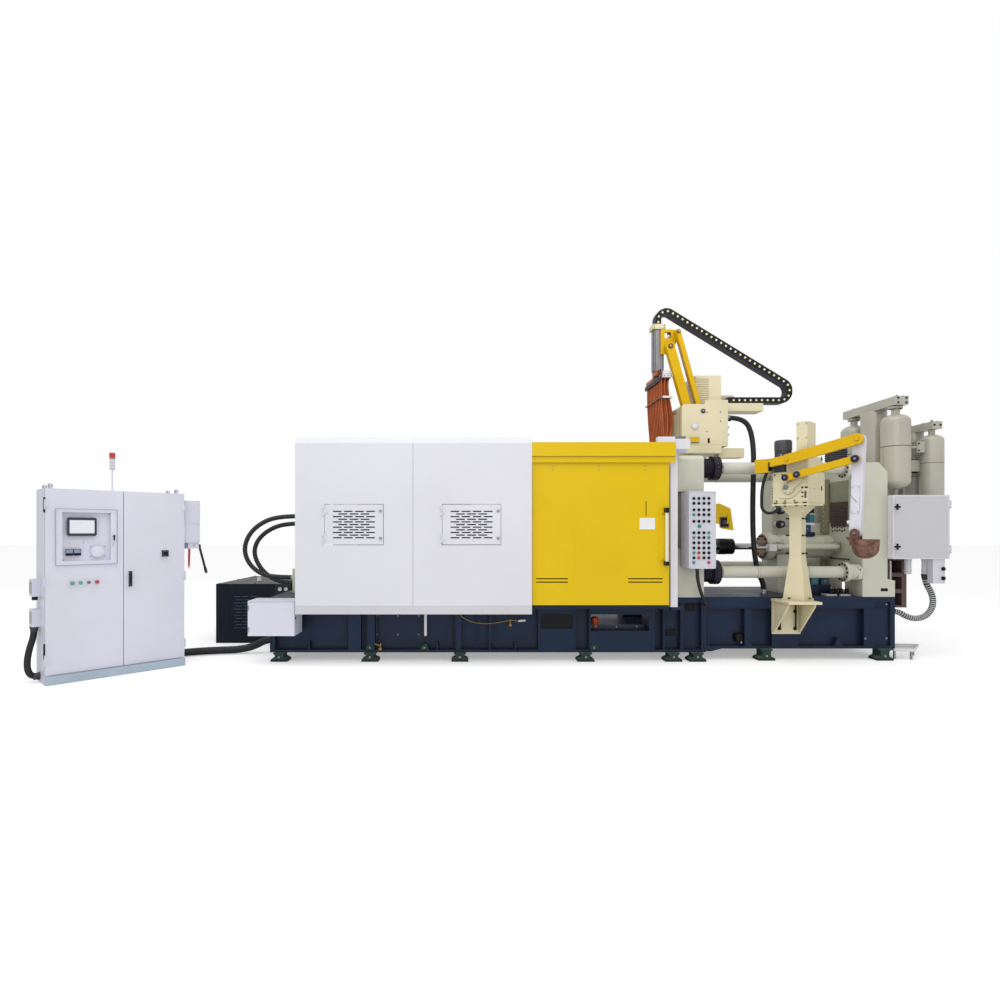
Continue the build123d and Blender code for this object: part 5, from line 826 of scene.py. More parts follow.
# Shot cylinder: an honed tube in a bronze-brown front flange, with a chromed position rod beside it.
# The plunger rod is hard chrome and its coupling is black oiled steel with a grip groove.
bronze_face = coated("bronze_flange_face", "#7a6450", 0.36, metal=0.8, vary=0.14, vary_mm=90, grain_mm=3, grain=0.1)
oiled_black = coated("black_oiled_steel", "#101012", 0.3, metal=0.5, vary=0.2, vary_mm=60, grain_mm=3, grain=0.12)
dark_sheet = coated("dark_grey_sheet", "#43454c", 0.5, vary=0.1, vary_mm=200, grain_mm=4, grain=0.1)
clamp_white = coated("white_clamp_polymer", "#e3e4e8", 0.42, vary=0.04, vary_mm=90, grain_mm=3, grain=0.05)
dress(chrome, "shot_rod")
sleeve = [(0, 100.6), (91, 100.6), (93, 78.6), (105, 78.6), (107, 100.6), (195.5, 100.6), (195.5, 42)]
ribs = [
    oiled_black, turned(sleeve, (2479.5, 0, 1315), RIGHT, 48),
    *(turned([(0, 100), (2, 103), (7, 103), (9, 100)], (2502 + i * 11.5, 0, 1315), RIGHT, 48) for i in range(7)),
    black_screws, *(cap_screw(spot, RIGHT, 15) for spot in ring((2672, 0, 1315), "yz", 84, 8)),
]
build("coupling_ribs", ribs, "shot_rod", edge=0.5)
front = [
    bronze_face, turned([(0, 158), (6, 158), (8, 152), (8, 60)], (3060, 0, 1315), LEFT, 56),
    black_screws, *(cap_screw(spot, LEFT, 24) for spot in ring((3052, 0, 1315), "yz", 134, 12, 15)),
    clamp_white, slab((3022, 3112), (-275, -180), (1262, 1350)),
    plated_steel, *(hex_bolt((x, -228, 1350), UP, 18) for x in (3040, 3094)),
    chrome, rod((2790, -232, 1305), RIGHT, 18, 320, 20),
]
for x in (3240, 3800):
    front += [
        platen_enamel, turned([(0, 147), (3, 150), (24, 150), (27, 147)], (x, 0, 1315), RIGHT, 48),
        plated_steel, hex_bolt((x + 14, 0, 1465), UP, 22),
    ]
front += [plated_steel, *(hex_bolt((x + 10, -250, z), FRONT, 20) for x in (3190, 3870) for z in (1275, 1355))]
build("shot_cylinder_fittings", front)


# Shot manifold: a drilled valve block with two round valves, plugs and a coil box on top.
# It is stone grey; the valves are blackened and their coils are moulded plastic.
valves = []
for z in (1600, 1780):
    valves += [
        blackened, turned([(0, 52), (8, 52), (12, 46), (60, 46), (64, 40)], (3365, 150, z), FRONT, 32),
        plated_steel, hex_bolt((3365, 86, z), FRONT, 34),
    ]
valves += [
    black_screws,
    *(
        stud((x, 230, z), FRONT, 19, 4, 4, 11, 18)
        for z in (900, 1060, 1220, 2030) for x in (3350, 3470, 3610)
    ),
    black_plastic_and_shade, slab((3440, 3680), (224, 236), (2210, 2390)),
    plated_steel, *(cap_screw((x, 224, z), FRONT, 12) for x in (3450, 3670) for z in (2222, 2378)),
    dark_sheet, *(slab((3430, 3690), (226, 230), (2206 + i * 24, 2212 + i * 24)) for i in range(8)),
]
build("shot_manifold_valves", valves)
box = [
    blue_enamel_and_highlight, slab((3340, 3420), (168, 182), (1252, 1408)),
    black_screws, *(cap_screw((3380, 168, z), FRONT, 14) for z in (1270, 1390)),
]
build("shot_manifold_box", box)


# Things on the shot base: a blue and teal valve row, flat pads and black fittings beside the cylinder.
teal_body = coated("teal_valve_enamel", "#2d7d86", 0.4, vary=0.1, vary_mm=60, grain_mm=3, grain=0.06, corner_shade=0.3)
row = []
for x, body in ((3400, blue_enamel_and_highlight), (3520, teal_body), (3640, blue_enamel_and_highlight)):
    row += [
        body, slab((x - 42, x + 42), (-380, -300), (860, 960)),
        black_plastic_and_shade, stud((x, -340, 960), UP, 26, 50, 56, 20, 20),
        plated_steel, hex_bolt((x, -380, 900), FRONT, 18),
    ]
row += [
    base_enamel, slab((3340, 3700), (-400, -280), (742, 860)),
    clamp_white, *(slab((x, x + 120), (-560, -440), (741, 757)) for x in (3100, 3560, 3720)),
]
build("shot_base_valves", row)
fittings = []
for x in (3640, 3700, 3760, 3830):
    fittings += [
        black_plastic_and_shade, turned([(0, 28), (40, 28), (46, 20), (80, 20)], (x, -500, 742), UP, 20),
        plated_steel, hex_bolt((x, -500, 822), UP, 24),
    ]
build("shot_base_fittings", fittings)
tag = [
    platen_enamel, slab((3862, 3900), (-672, -652), (950, 1090)),
    black_plastic_and_shade, rod((3881, -672, 1060), FRONT, 9, 3, 16),
]
build("shot_base_tag", tag)


# End plate's window: a grey plate and a louvred brown cover lie over it, beside an upright perforated rail.
# A dark louvred motor sits on the plate; a blue and teal valve stack stands on the shot cylinder.
olive_rail = coated("olive_rail_enamel", "#8c8768", 0.45, vary=0.1, vary_mm=200, grain_mm=4, grain=0.1, corner_shade=0.3)
bare_grey = coated("oiled_grey_plate", "#8f907f", 0.4, vary=0.12, vary_mm=150, grain_mm=4, grain=0.1, corner_shade=0.3)
brown_cover = coated("brown_oil_cover", "#4f3a33", 0.45, vary=0.2, vary_mm=90, grain_mm=4, grain=0.12)
window = [
    bare_grey, slab((3909, 3915), (-400, -44), (1876, 2130)),
    brown_cover, slab((3907, 3915), (-400, -56), (1570, 1872)),
    blackened, *(slab((3904, 3907), (-380, -76), (1592 + i * 32, 1602 + i * 32)) for i in range(8)),
]
for low, high in ((752, 1150), (1480, 2171)):
    window += [
        olive_rail, slab((3893, 3915), (-20, 150), (low, high)),
        clamp_white, *(rod((3893, 65, low + 40 + i * 60), LEFT, 9, 1.5, 12) for i in range(int((high - low) / 60))),
    ]
window += [
    black_screws,
    *(cap_screw((3915, -90 - i * 48, z + (i % 2) * 12), LEFT, 20) for i in range(6) for z in (1512, 1556)),
    *(cap_screw((3915, -60 - i * 44, 1168), LEFT, 22) for i in range(9)),
]
build("end_plate_window", window)
fan = [
    dark_sheet, slab((3922, 4100), (-90, 90), (2317, 2560)),
    black_plastic_and_shade, *(slab((3918, 4104), (-94, 94), (2336 + i * 28, 2348 + i * 28)) for i in range(8)),
]
build("plate_motor", fan, edge=2)
stack = [
    base_enamel, slab((3548, 3690), (-90, 40), (1452, 1500)),
    blue_enamel_and_highlight, slab((3556, 3640), (-86, 30), (1500, 1590)),
    clamp_white, slab((3560, 3684), (-92, 24), (1590, 1618)),
    teal_body, slab((3626, 3686), (-84, 26), (1618, 1720)),
    blue_enamel_and_highlight, slab((3552, 3626), (-84, 26), (1618, 1740)),
    base_enamel, slab((3560, 3680), (-88, 30), (1740, 1800)),
    black_plastic_and_shade, stud((3610, -30, 1800), UP, 24, 60, 64, 20, 20),
    plated_steel, *(hex_bolt((3590, -92, z), FRONT, 16) for z in (1540, 1670, 1770)),
]
build("shot_valve_stack", stack, edge=2)


# Accumulators: spun and welded pressure bottles with a ring seam, painted grey-green.
# The blocks over and under them are drilled plate with plugs and lifting eyes.
bottle_enamel = coated(
    "grey_green_bottle_enamel", "#bab7a9", 0.2, vary=0.07, vary_mm=500, grain_mm=6, grain=0.04, coat=0.4, dust=0.08,
    corner_shade=0.25,
)
dress(bottle_enamel, "accumulator_bottles", "accumulator_manifolds")
# The dark bands at the bottles' seams and rings are painted shadow.
seam_shadow = coated("weld_seam_shadow", "#6f6d62", 0.5, vary=0.15, vary_mm=80, grain_mm=4, grain=0.2)
bands = []
for y in (-390, 390):
    bands += [
        seam_shadow, turned([(0, 156), (3, 158.5), (9, 158.5), (12, 156)], (4495, y, 2530), UP, 48),
        bottle_enamel, stud((4495, y, 2999), UP, 75, 26, 30, 70, 36),
        black_screws, *(hex_bolt(spot, DOWN, 16) for spot in ring((4495, y, 3000), "xy", 60, 8)),
    ]
bands += [
    seam_shadow,
    *(turned([(0, 124.4), (3, 125.6), (9, 125.6), (12, 124.4)], (5005, y, 2340), UP, 40) for y in (-300, 300)),
    *(
        turned([(0, r), (2, r + 2.5), (8, r + 2.5), (10, r)], (x, 0, z), UP, 44)
        for x, r in ((4495, 145), (5005, 110)) for z in (2200, 2330)
    ),
]
for side in (-1, 1):
    near, far = side * 230, side * 350
    bands += [
        bottle_enamel, slab((4788, 4886), sorted((near, far)), (2474, 2610)),
        rod((4645, side * 330, 2542), RIGHT, 16, 150, 16),
        slab((4690, 4890), sorted((near, side * 270)), (2250, 2390)),
        blackened, slab((4688, 4888), sorted((side * 200, side * 232)), (2236, 2404)),
        black_screws, *(cap_screw((4806, far, z), (0, side, 0), 20) for z in (2500, 2584)),
    ]
build("bottle_seams", bands, edge=0.6)
tops = []
for x, half, top, wide in ((4495, 500, 3135.3, 80), (5005, 390, 2850.3, 60)):
    tops += [
        black_screws,
        *(
            cap_screw((x + wide * shift, y, top), UP, 20)
            for y in (-half + 40, -half / 2, 0, half / 2, half - 40) for shift in (-0.5, 0.5)
        ),
        plated_steel,
        *(turned([(0, 20), (10, 20), (12, 12), (30, 12)], (x, y, top), UP, 20) for y in (-half + 90, half - 90)),
        black_screws,
        *(
            cap_screw((x + shift * wide, side * half, top - drop), (0, side, 0), 22)
            for side in (-1, 1) for shift in (-0.62, 0.62) for drop in ((24, 80) if x < 5000 else (45,))
        ),
    ]
for y in (-390, 390):
    tops += [
        bottle_enamel, slab((4400, 4480), (y - 26, y + 26), (2200, 2244)),
        black_screws, hex_bolt((4420, y, 2244), UP, 20),
    ]
build("accumulator_top_screws", tops)
lower = [
    black_screws, *(cap_screw((x, y, 1720), UP, 24) for y in (-160, 160) for x in (4300, 4620, 4800, 5080)),
    *(
        stud((x, side * 200, 1630), (0, side, 0), 26, 6, 6, 15, 22)
        for x in (4360, 4640, 4900) for side in (-1, 1)
    ),
    *(cap_screw((4247, y, z), RIGHT, 24) for z in (1560, 2090) for y in (-360, 360)),
]
build("accumulator_block_screws", lower)


# Terminal box: a white sheet cabinet with a hinged door, lobed black latches and nylon glands.
# A valve rack in brown enamel and a pale drip tray stand behind and below its hose.
dress(white_powder, "terminal_box", "terminal_box_door")
rack_enamel = coated(
    "brown_rack_enamel", "#6a5350", 0.5, vary=0.15, vary_mm=90, grain_mm=4, grain=0.15, dust=0.12, corner_shade=0.4,
)
dress(rack_enamel, "valve_rack")
latches = []
for z in (1330, 1790):
    latches += [
        black_plastic_and_shade, turned([(0, 13), (10, 14), (14, 12)], (4238, -774, z), FRONT, 24),
        *(turned([(0, 11), (12, 12), (15, 10)], spot, FRONT, 16) for spot in ring((4238, -774, z), "xz", 24, 4)),
    ]
# The grey panel over the terminal box door face is painted shade.
latches += [painted_shade_white, slab((4228, 4845), (-751.5, -750), (1206, 1910))]
build("terminal_box_latches", latches, "terminal_box_door", edge=0.8)
under = [black_plastic_and_shade, *(stud((4806, -725, z), FRONT, 22, 16, 22, 16, 18) for z in (962, 1072))]
for x in (4520, 4725):
    under += [
        white_pvc, turned([(0, 44), (24, 44), (30, 38), (44, 38)], (x, -560, 1188), DOWN, 6),
        turned([(0, 38), (18, 40), (22, 36)], (x, -560, 1052), DOWN, 24),
    ]
under += [
    gland_nylon, *(stud((4320 + i * 55, -600, 1188), DOWN, 16, 22, 26, 11, 18) for i in range(3)),
]
build("terminal_box_glands", under)
rack = [white_pvc, slab((4386, 4402), (-452, -430), (700, 1150))]
for bay in range(3):
    low = 585 + bay * 198.3
    rack += [
        blackened,
        *(stud((x, -280, low + 110), FRONT, 20, 24, 30, 14, 18) for x in (4345, 4450, 4510)),
        brass, rod((4480, -330, low + 60), UP, 10, 60, 14),
    ]
build("valve_rack_fittings", rack)
tray_points = [(4296, -640), (4510, -680), (4782, -380), (4400, -330)]
drip = [blank_white, cut(tray_points, (96, 104), "z")]
for start, end in zip(tray_points, tray_points[1:] + tray_points[:1]):
    start, end = Vector(start), Vector(end)
    side = 3 * (end - start).orthogonal().normalized()
    drip += [blank_white, cut([start + side, start - side, end - side, end + side], (98, 134), "z")]
drip += [
    plated_steel,
    *(rod((x, y, 0.5), UP, 14, 96, 14) for x, y in ((4330, -600), (4500, -640), (4700, -400), (4420, -370))),
]
build("drip_tray", drip, edge=1)


# Pour guard: a cut sheet in the same yellow as the door, on a lug, with a blank dark plate screwed on.
# It stands before the pouring hole and carries no mark.
dress(door_enamel, "pour_guard")
guard_bits = [
    bronze_face, slab((2384, 2504), (-315, -312), (1552, 1688)),
    black_plastic_and_shade, slab((2398, 2490), (-317, -315), (1568, 1674)),
    gland_nylon, slab((2420, 2468), (-320, -317), (1596, 1644)),
    plated_steel, *(cap_screw((x, -315, z), FRONT, 9) for x in (2391, 2497) for z in (1560, 1680)),
    door_enamel, turned([(-60, 11), (60, 11)], (2486, -320, 1660), (0.1, 0, 1), 14),
    plated_steel, *(hex_bolt((x, -312, z), FRONT, 16) for x, z in ((2070, 1690), (2070, 1810), (2330, 1680))),
]
build("pour_guard_plate", guard_bits, edge=0.5)


# Ladler stand: a welded column of folded plate on a bracket bolted to the base, in cream enamel.
# Blackened bolts hold it; two long studs jack the bracket up from below.
cream_enamel = coated(
    "cream_enamel", "#e6dcb8", 0.38, vary=0.05, vary_mm=400, grain_mm=5, grain=0.1, dust=0.05, corner_shade=0.35,
)
dress(cream_enamel, "ladler_bracket", "ladler_column", "ladler_head")
stand = [
    black_screws, *(hex_bolt((x, -685, z), FRONT, 34) for x, z in ((2925, 372), (3108, 372), (3108, 571))),
    rod((3108, -704, 384), UP, 8, 276, 12), rod((2925, -704, 384), UP, 8, 96, 12),
    base_enamel, slab((2845, 3160), (-668, -660), (160, 304)),
]
build("ladler_bracket_bolts", stand)
column = [black_screws, *(hex_bolt((u, v, 742), UP, 26) for u, v in ((-50, -114), (-104, 60), (40, 114), (112, 30)))]
for z in (1258, 1462, 1652):
    column += [
        black_screws, rod((-68, -50, z), LEFT, 9, 42, 12), *(rod((60, v, z), RIGHT, 9, 26, 12) for v in (-46, 46)),
    ]
for u in (-160, -60, 60, 150):
    column += [black_screws, hex_bolt((u, -196, 1798), DOWN, 22), rod((u, -206, 1820), UP, 20, 10, 14)]
column += [cream_enamel, slab((-191, 180), (-214, -202), (1820, 1824))]
build("ladler_column_bolts", column, place=ladler_place)


# Ladler head: a gearbox cast in iron and coated cream, with plugs, slots and a crank on a bare hub.
# Its cap screws and cable stubs are black; a narrow recess in its front is painted brown as shade.
shade_brown = coated("brown_shaded_enamel", "#6a5040", 0.5, vary=0.12, vary_mm=90, grain_mm=4, grain=0.1)
casing = [
    milled_iron, stud((-40, -225, 2002), FRONT, 26, 8, 10, 22, 28),
    plated_steel, hex_bolt((-40, -235, 2002), FRONT, 20),
    cream_enamel, stud((-23, -202, 1985), FRONT, 62, 14, 17, 58, 36),
]
for turn in (20, 75, 130, 185, 240, 295):
    casing += [black_screws, *(cap_screw(spot, FRONT, 9) for spot in ring((-23, -219, 1985), "xz", 51, 1, turn))]
casing += [
    # Painted shade: the recess is a brown strip under a cream lip.
    shade_brown, slab((142, 166), (-201.5, -200), (1876, 1950)),
    cream_enamel, slab((134, 174), (-204, -200), (1950, 1956)),
    black_plastic_and_shade, *(slab((u - wide, u + wide), (-202, -199), (1983, 2003)) for u, wide in ((122, 11), (162, 15))),
    slab((112, 134), (-202, -199), (1930, 1946)), slab((112, 134), (-202, -199), (1886, 1900)),
    *(slab((178, 182), (172, 204), (z - 24, z + 24)) for z in (1998, 2335)),
    black_screws, *(rod((180, v, 1988), RIGHT, 6, 2, 12) for v in (-120, -20, 80)),
    black_plastic_and_shade,
    *(stud((-191, -150, z), LEFT, 11, 22, 26, 8, 14) for z in (1900, 1935, 1970, 2005)),
    black_screws,
    *(
        cap_screw((u, -200, z), FRONT, 15)
        for u, z in ((-170, 2150), (-90, 2150), (40, 1850), (-150, 1850), (-60, 1850))
    ),
]
lip = [(-120, 1885), (-60, 1875), (0, 1880), (50, 1905), (95, 1950), (120, 1968)]
casing += [
    cream_enamel, *strands(lip, -201, 5, past=2), slab((62, 178), (-203, -200), (2360, 2710)),
    black_screws, *(cap_screw((u, -203, z), FRONT, 11) for u in (76, 164) for z in (2376, 2540, 2694)),
]
build("ladler_head_fittings", casing, place=ladler_place)


# Ladler motor: a cast aluminium housing in dark grey with cooling ribs, a fan cover and a terminal lid.
# It stands on the gearbox by a flange with four bolts.
motor_enamel = coated(
    "dark_grey_motor_enamel", "#4a4c55", 0.4, vary=0.1, vary_mm=120, grain_mm=3, grain=0.1, dust=0.15, corner_shade=0.35,
)
dress(motor_enamel, "ladler_motor")
motor = [
    motor_enamel, *(rod(spot, UP, 2.6, 208, 6) for spot in ring((-143.3, -44, 2216), "xy", 87, 30)),
    black_screws, *(hex_bolt(spot, UP, 16) for spot in ring((-143.3, -44, 2200), "xy", 88, 4, 45)),
    motor_enamel, stud((-143.3, -44, 2440), UP, 95, 5, 8, 92, 40),
    slab((-188, -100), (-152, -128), (2290, 2400)),
    plated_steel, slab((-130, -108), (-156, -152), (2300, 2390)),
]
for i in range(5):
    motor += [
        black_plastic_and_shade, rod((-143.3, -44, 2554), UP, 86 - 15 * i, 1.6, 32),
        motor_enamel, rod((-143.3, -44, 2554), UP, 79 - 15 * i, 2.4, 32),
    ]
build("ladler_motor_ribs", motor, place=ladler_place, edge=0.5)


# Ladler arms: steel box section in yellow gloss enamel, turning on pins with dark blue caps.
# The drop arm is a pale grey cover with a screwed plate and a white knob at its edge.
arm_enamel = coated(
    "yellow_arm_enamel", "#e2b500", 0.3, vary=0.04, vary_mm=400, grain_mm=6, grain=0.06, dust=0.06, corner_shade=0.3,
    shine=0.3,
)
cap_blue = coated("dark_blue_pivot_cap", "#252c4c", 0.4, metal=0.3, vary=0.15, vary_mm=50, grain_mm=2, grain=0.1)
drop_coat = coated("pale_grey_arm_coat", "#e0e0ea", 0.38, vary=0.05, vary_mm=250, grain_mm=4, grain=0.08, corner_shade=0.3)
dress(arm_enamel, "ladler_upper_arm", "ladler_lower_arm")
dress(drop_coat, "ladler_drop_arm")


def pivot_cap(spot, radius):
    """A turned cap with a screw ring and a bare centre."""
    face = (spot[0], spot[1] - 13, spot[2])
    cap = stud(spot, FRONT, radius, 9, 13, radius - 5, 28)
    hub = stud(face, FRONT, radius * 0.26, 4, 5, radius * 0.2, 16)
    screws = (cap_screw(place, FRONT, radius * 0.24) for place in ring(face, "xz", radius * 0.64, 6, 30))
    return [cap_blue, cap, plated_steel, hub, black_screws, *screws]


# The black slab beside the end block is painted shade in the gap.
upper = [
    black_plastic_and_shade, slab((-196, -186), (-316, -246), (2196, 2290)),
    arm_enamel,
    *(stud((u, -304, z), FRONT, 20, 13, 13.6, 18, 24) for u, z in ((-5, 2308), (680, 2455))),
]
build("upper_arm_bolts", upper, "ladler_upper_arm", place=ladler_place, edge=0.6)
lower = pivot_cap((-20, -305, 2105), 36) + pivot_cap((101, -305, 2131), 36) + pivot_cap((665, -305, 2252), 40)
build("lower_arm_caps", lower, "ladler_lower_arm", place=ladler_place, edge=0.5)
drop = [
    drop_coat, cut([(617, 1975), (693, 1975), (683, 1696), (607, 1696)], (-248, -245)),
    black_plastic_and_shade, cut([(615.5, 1977), (694.5, 1977), (684.5, 1694), (605.5, 1694)], (-246, -244.5)),
    black_screws,
    *(cap_screw((u, -248, z), FRONT, 8) for u, z in ((627, 1962), (683, 1962), (673, 1709), (617, 1709))),
    black_plastic_and_shade, rod((590, -250, 1900), (0.62, 0, -0.78), 3, 118, 8),
    white_pvc, turned([(0, 16), (10, 22), (26, 22), (34, 14)], (599, -215, 1602), LEFT, 20),
]
build("drop_arm_cover", drop, "ladler_drop_arm", place=ladler_place, edge=0.4)


# Ladle: a cast iron cup, rusty brown and scaled by the melt.
# Its lugs turn on a bare pin.
ladle_iron, ladle_tree = new_finish("scaled_ladle_iron")
place = add(ladle_tree, "ShaderNodeTexCoord").outputs["Object"]
patches = add(ladle_tree, "ShaderNodeTexNoise", {"Vector": place}, {"Scale": 14.0, "Detail": 8.0, "Roughness": 0.65})
ramp = add(ladle_tree, "ShaderNodeValToRGB", {0: patches.outputs[0]})
ramp.color_ramp.elements[0].position = 0.34
ramp.color_ramp.elements[0].color = linear("#4a3733")
ramp.color_ramp.elements[1].position = 0.66
ramp.color_ramp.elements[1].color = linear("#96705c")
middle = ramp.color_ramp.elements.new(0.5)
middle.color = linear("#7a5648")
scale_grain = add(ladle_tree, "ShaderNodeTexNoise", {"Vector": place}, {"Scale": 120.0, "Detail": 4.0})
scale_relief = add(
    ladle_tree, "ShaderNodeBump", {"Height": scale_grain.outputs[0]}, {"Strength": 0.5, "Distance": 0.0015},
)
iron_body = add(
    ladle_tree, "ShaderNodeBsdfPrincipled", {"Base Color": ramp.outputs[0], "Normal": scale_relief.outputs[0]},
    {"Roughness": 0.7, "Metallic": 0.2},
)
add(ladle_tree, "ShaderNodeOutputMaterial", {"Surface": iron_body.outputs[0]})
dress(ladle_iron, "ladle")
pins = [
    milled_iron, stud((645, -263, 1490), FRONT, 15, 8, 10, 12, 20),
    stud((645, -167, 1490), BACK, 15, 8, 10, 12, 20),
]
build("ladle_pin_ends", pins, "ladle", place=ladler_place)


# Sprayer beam and housing: welded boxes and folded covers in cream enamel over the fixed platen.
# The big cover is ribbed on its far side; a round disc, a pin and small screws mark its front.
dress(cream_enamel, "sprayer_beam", "sprayer_housing")
front = -350
housing = [
    # The grey ring round the white disc is painted shade.
    painted_shade_white, turned([(0, 44), (5, 44), (7, 40), (7, 30)], (2066, front, 2795), FRONT, 40),
    white_pvc, stud((2066, front, 2795), FRONT, 30, 8, 10, 26, 32),
    blackened, turned([(0, 27), (10, 27), (13, 22), (13, 12), (20, 12)], (2166, front, 2982), FRONT, 28),
    plated_steel, rod((2166, front - 6, 2982), FRONT, 10, 16, 16),
    black_plastic_and_shade, slab((2221, 2249), (front - 2, front + 2), (2590, 2650)),
    arm_enamel, slab((2006, 2116), (front - 10, front), (2594, 2664)),
    black_plastic_and_shade, slab((2014, 2108), (front - 12, front - 9), (2594, 2601)),
    black_screws,
    *(
        stud((x, front, z), FRONT, 8, 2, 3, 6, 14)
        for x, z in ((2212, 2731), (2379, 2969), (2381, 2858), (2216, 2965))
    ),
]
build("sprayer_housing_front", housing)
side_ribs = [
    cream_enamel,
    *(turned([(0, 8), (4, 10), (396, 10), (400, 8)], (1907, y, 2580), UP, 12) for y in range(-120, 91, 42)),
]
build("sprayer_side_ribs", side_ribs, edge=0)
cover = [
    cream_enamel, *(slab((2164, 2330), (-117, -110), (z, z + 11)) for z in range(3160, 3437, 23)),
    black_plastic_and_shade, *(slab((2161.5, 2163), (-60, 210), (z, z + 7)) for z in range(3160, 3401, 30)),
]
build("sprayer_cover_louvres", cover, edge=1)
beam = []
for x, wide in ((1790, 34), (1850, 22), (1960, 26)):
    beam += [
        blank_white, slab((x - wide, x + wide), (-416, -352), (2550, 2606)),
        plated_steel, hex_bolt((x, -384, 2606), UP, 16),
    ]
build("sprayer_beam_blocks", beam)
pipe_work = [
    white_pvc, turned([(0, 20), (20, 20), (20, 15), (88, 15), (94, 18), (118, 18)], (2473, -190, 2918), RIGHT, 20),
    black_plastic_and_shade, rod((2473, -330, 2880), (1, 0, -0.2), 16, 40, 16),
    *(stud((2473, -300, z), RIGHT, 12, 26, 30, 9, 14) for z in (2700, 2790)),
]
build("sprayer_ports", pipe_work)


# Sprayer arms and head: yellow box section on dark pins, an aluminium slide and white blocks.
# The head's plate has a square window; copper tubes hang from its clamp in ten rows of three.
slide_aluminium = coated(
    "anodised_slide_aluminium", "#9a9ba0", 0.4, metal=0.85, vary=0.08, vary_mm=150, grain_mm=2.5, grain=0.1,
)
copper = coated("drawn_copper_tube", "#b8643a", 0.34, metal=0.75, vary=0.22, vary_mm=120, grain_mm=4, grain=0.1)
dress(arm_enamel, "sprayer_main_arm", "sprayer_link_arm", "sprayer_head")
dress(copper, "spray_tubes")


def ringed_pin(x, z, front_y, radius):
    """A dark pin in a ring, with a bright centre."""
    collar = turned([(0, radius), (8, radius), (11, radius - 4), (11, radius * 0.55)], (x, front_y, z), FRONT, 26)
    centre = stud((x, front_y, z), FRONT, radius * 0.45, 15, 17, radius * 0.35, 20)
    return [blackened, collar, plated_steel, centre]


main_pins = ringed_pin(1790, 3798, -290, 30) + ringed_pin(2068, 2798, -290, 34)
build("main_arm_pins", main_pins, "sprayer_main_arm", edge=0.5)
link_pins = ringed_pin(1888, 3982, -290, 24) + ringed_pin(2166, 2982, -290, 24)
build("link_arm_pins", link_pins, "sprayer_link_arm", edge=0.5)
head = [
    slide_aluminium, slab((1630, 1746), (-167, -43), (3526, 4044.5)),
    cream_enamel, slab((1604.5, 1761.5), (-185.5, -22.5), (4045.5, 4107.5)),
    black_screws, *(slab((x - 3, x + 3), (-169, -165), (3530, 4042)) for x in (1638, 1738)),
    *(rod((1738, -167, 3570 + i * 55), FRONT, 7, 2, 12) for i in range(9)),
    slide_aluminium, rod((1625, -90, 3535), UP, 12, 500, 14),
    black_plastic_and_shade, slab((1775, 1820), (-206, -203), (3930, 3996)),
    blank_white, slab((1780, 1804), (-208, -205), (3934, 3962)),
    black_screws, *(cap_screw((x, -185, z), FRONT, 12) for x in (1620, 1746) for z in (4060, 4090)),
]
build("spray_head_slide", head, "sprayer_head", edge=0.6)
clamp = [blank_white, slab((1716, 1834), (-232, -198), (3430, 3468)), slab((1716, 1834), (-232, -198), (3472, 3506))]
for x in (1735, 1776, 1816):
    clamp += [
        black_screws, cap_screw((x, -232, 3449), FRONT, 13),
        black_plastic_and_shade, *(stud((x, y, 3509), UP, 11, 16, 20, 8, 14) for y in (-150, -80)),
    ]
clamp += [
    blackened, slab((1684, 1702), (-196, 424), (3400, 3452)),
    cut([(-196, 3452), (100, 3452), (-40, 3540), (-196, 3540)], (1684, 1702), "x"),
    black_screws, *(cap_screw((1684, y, 3428), LEFT, 15) for y in (-120, 0, 120, 240, 360)),
    blank_white, slab((1722, 1850), (-200, -192), (3178, 3204)),
    # A brown strip under the white block, painted shade.
    shade_brown, slab((1690, 1702), (-192, 424), (3178, 3194)),
    blackened,
    *(
        stud((x, -170 + 62 * i, 3424), DOWN, 13, 18, 22, 11.5, 12)
        for i in range(10) for x in (1722, 1762, 1802)
    ),
]
build("spray_clamp_blocks", clamp, "sprayer_head", edge=0.8)


# Energy chain: moulded plastic links on pins, running over the head in a fixed loop.
# Each link has a pale round cap on its side; it is dark purple grey and a little glossy.
chain_plastic = coated("dark_chain_plastic", "#211f2c", 0.4, vary=0.12, vary_mm=60, grain_mm=2, grain=0.1, shine=0.25)
cap_yellow = coated("pale_yellow_link_cap", "#e8e8a0", 0.4, vary=0.05, vary_mm=20, grain_mm=1.5, grain=0.04)
dress(chain_plastic, "energy_chain")
CHAIN_ROUTE = ((1683, 4106.3), (1683, 4240), (1795, 4293), (3333, 3351.5), (3333, 3158.3), (2560, 3158.3))
CHAIN_BENDS = (95, 95, 120, 110)


def rounded(route, bends, step):
    """Points with directions at an even step along a route with rounded corners."""
    path = [Vector(route[0])]
    for before, corner, after, bend in zip(route, route[1:], route[2:], bends):
        into = (Vector(corner) - Vector(before)).normalized()
        away = (Vector(after) - Vector(corner)).normalized()
        half = math.acos(max(-1, min(1, into.dot(away)))) / 2
        setback = bend * math.tan(half)
        start = Vector(corner) - into * setback
        sign = 1 if into.x * away.y - into.y * away.x > 0 else -1
        centre = start + Vector((-into.y, into.x)) * sign * bend
        count = max(2, int(bend * half * 2 / 8))
        path.append(start)
        for i in range(1, count + 1):
            turn = Matrix.Rotation(sign * half * 2 * i / count, 2)
            path.append(centre + turn @ (start - centre))
    path.append(Vector(route[-1]))
    spots, due, travelled = [], step / 2, 0.0
    for here, there in zip(path, path[1:]):
        length = (there - here).length
        while length and travelled + length >= due:
            along = (there - here) / length
            spots.append((here + along * (due - travelled), along))
            due += step
        travelled += length
    return spots


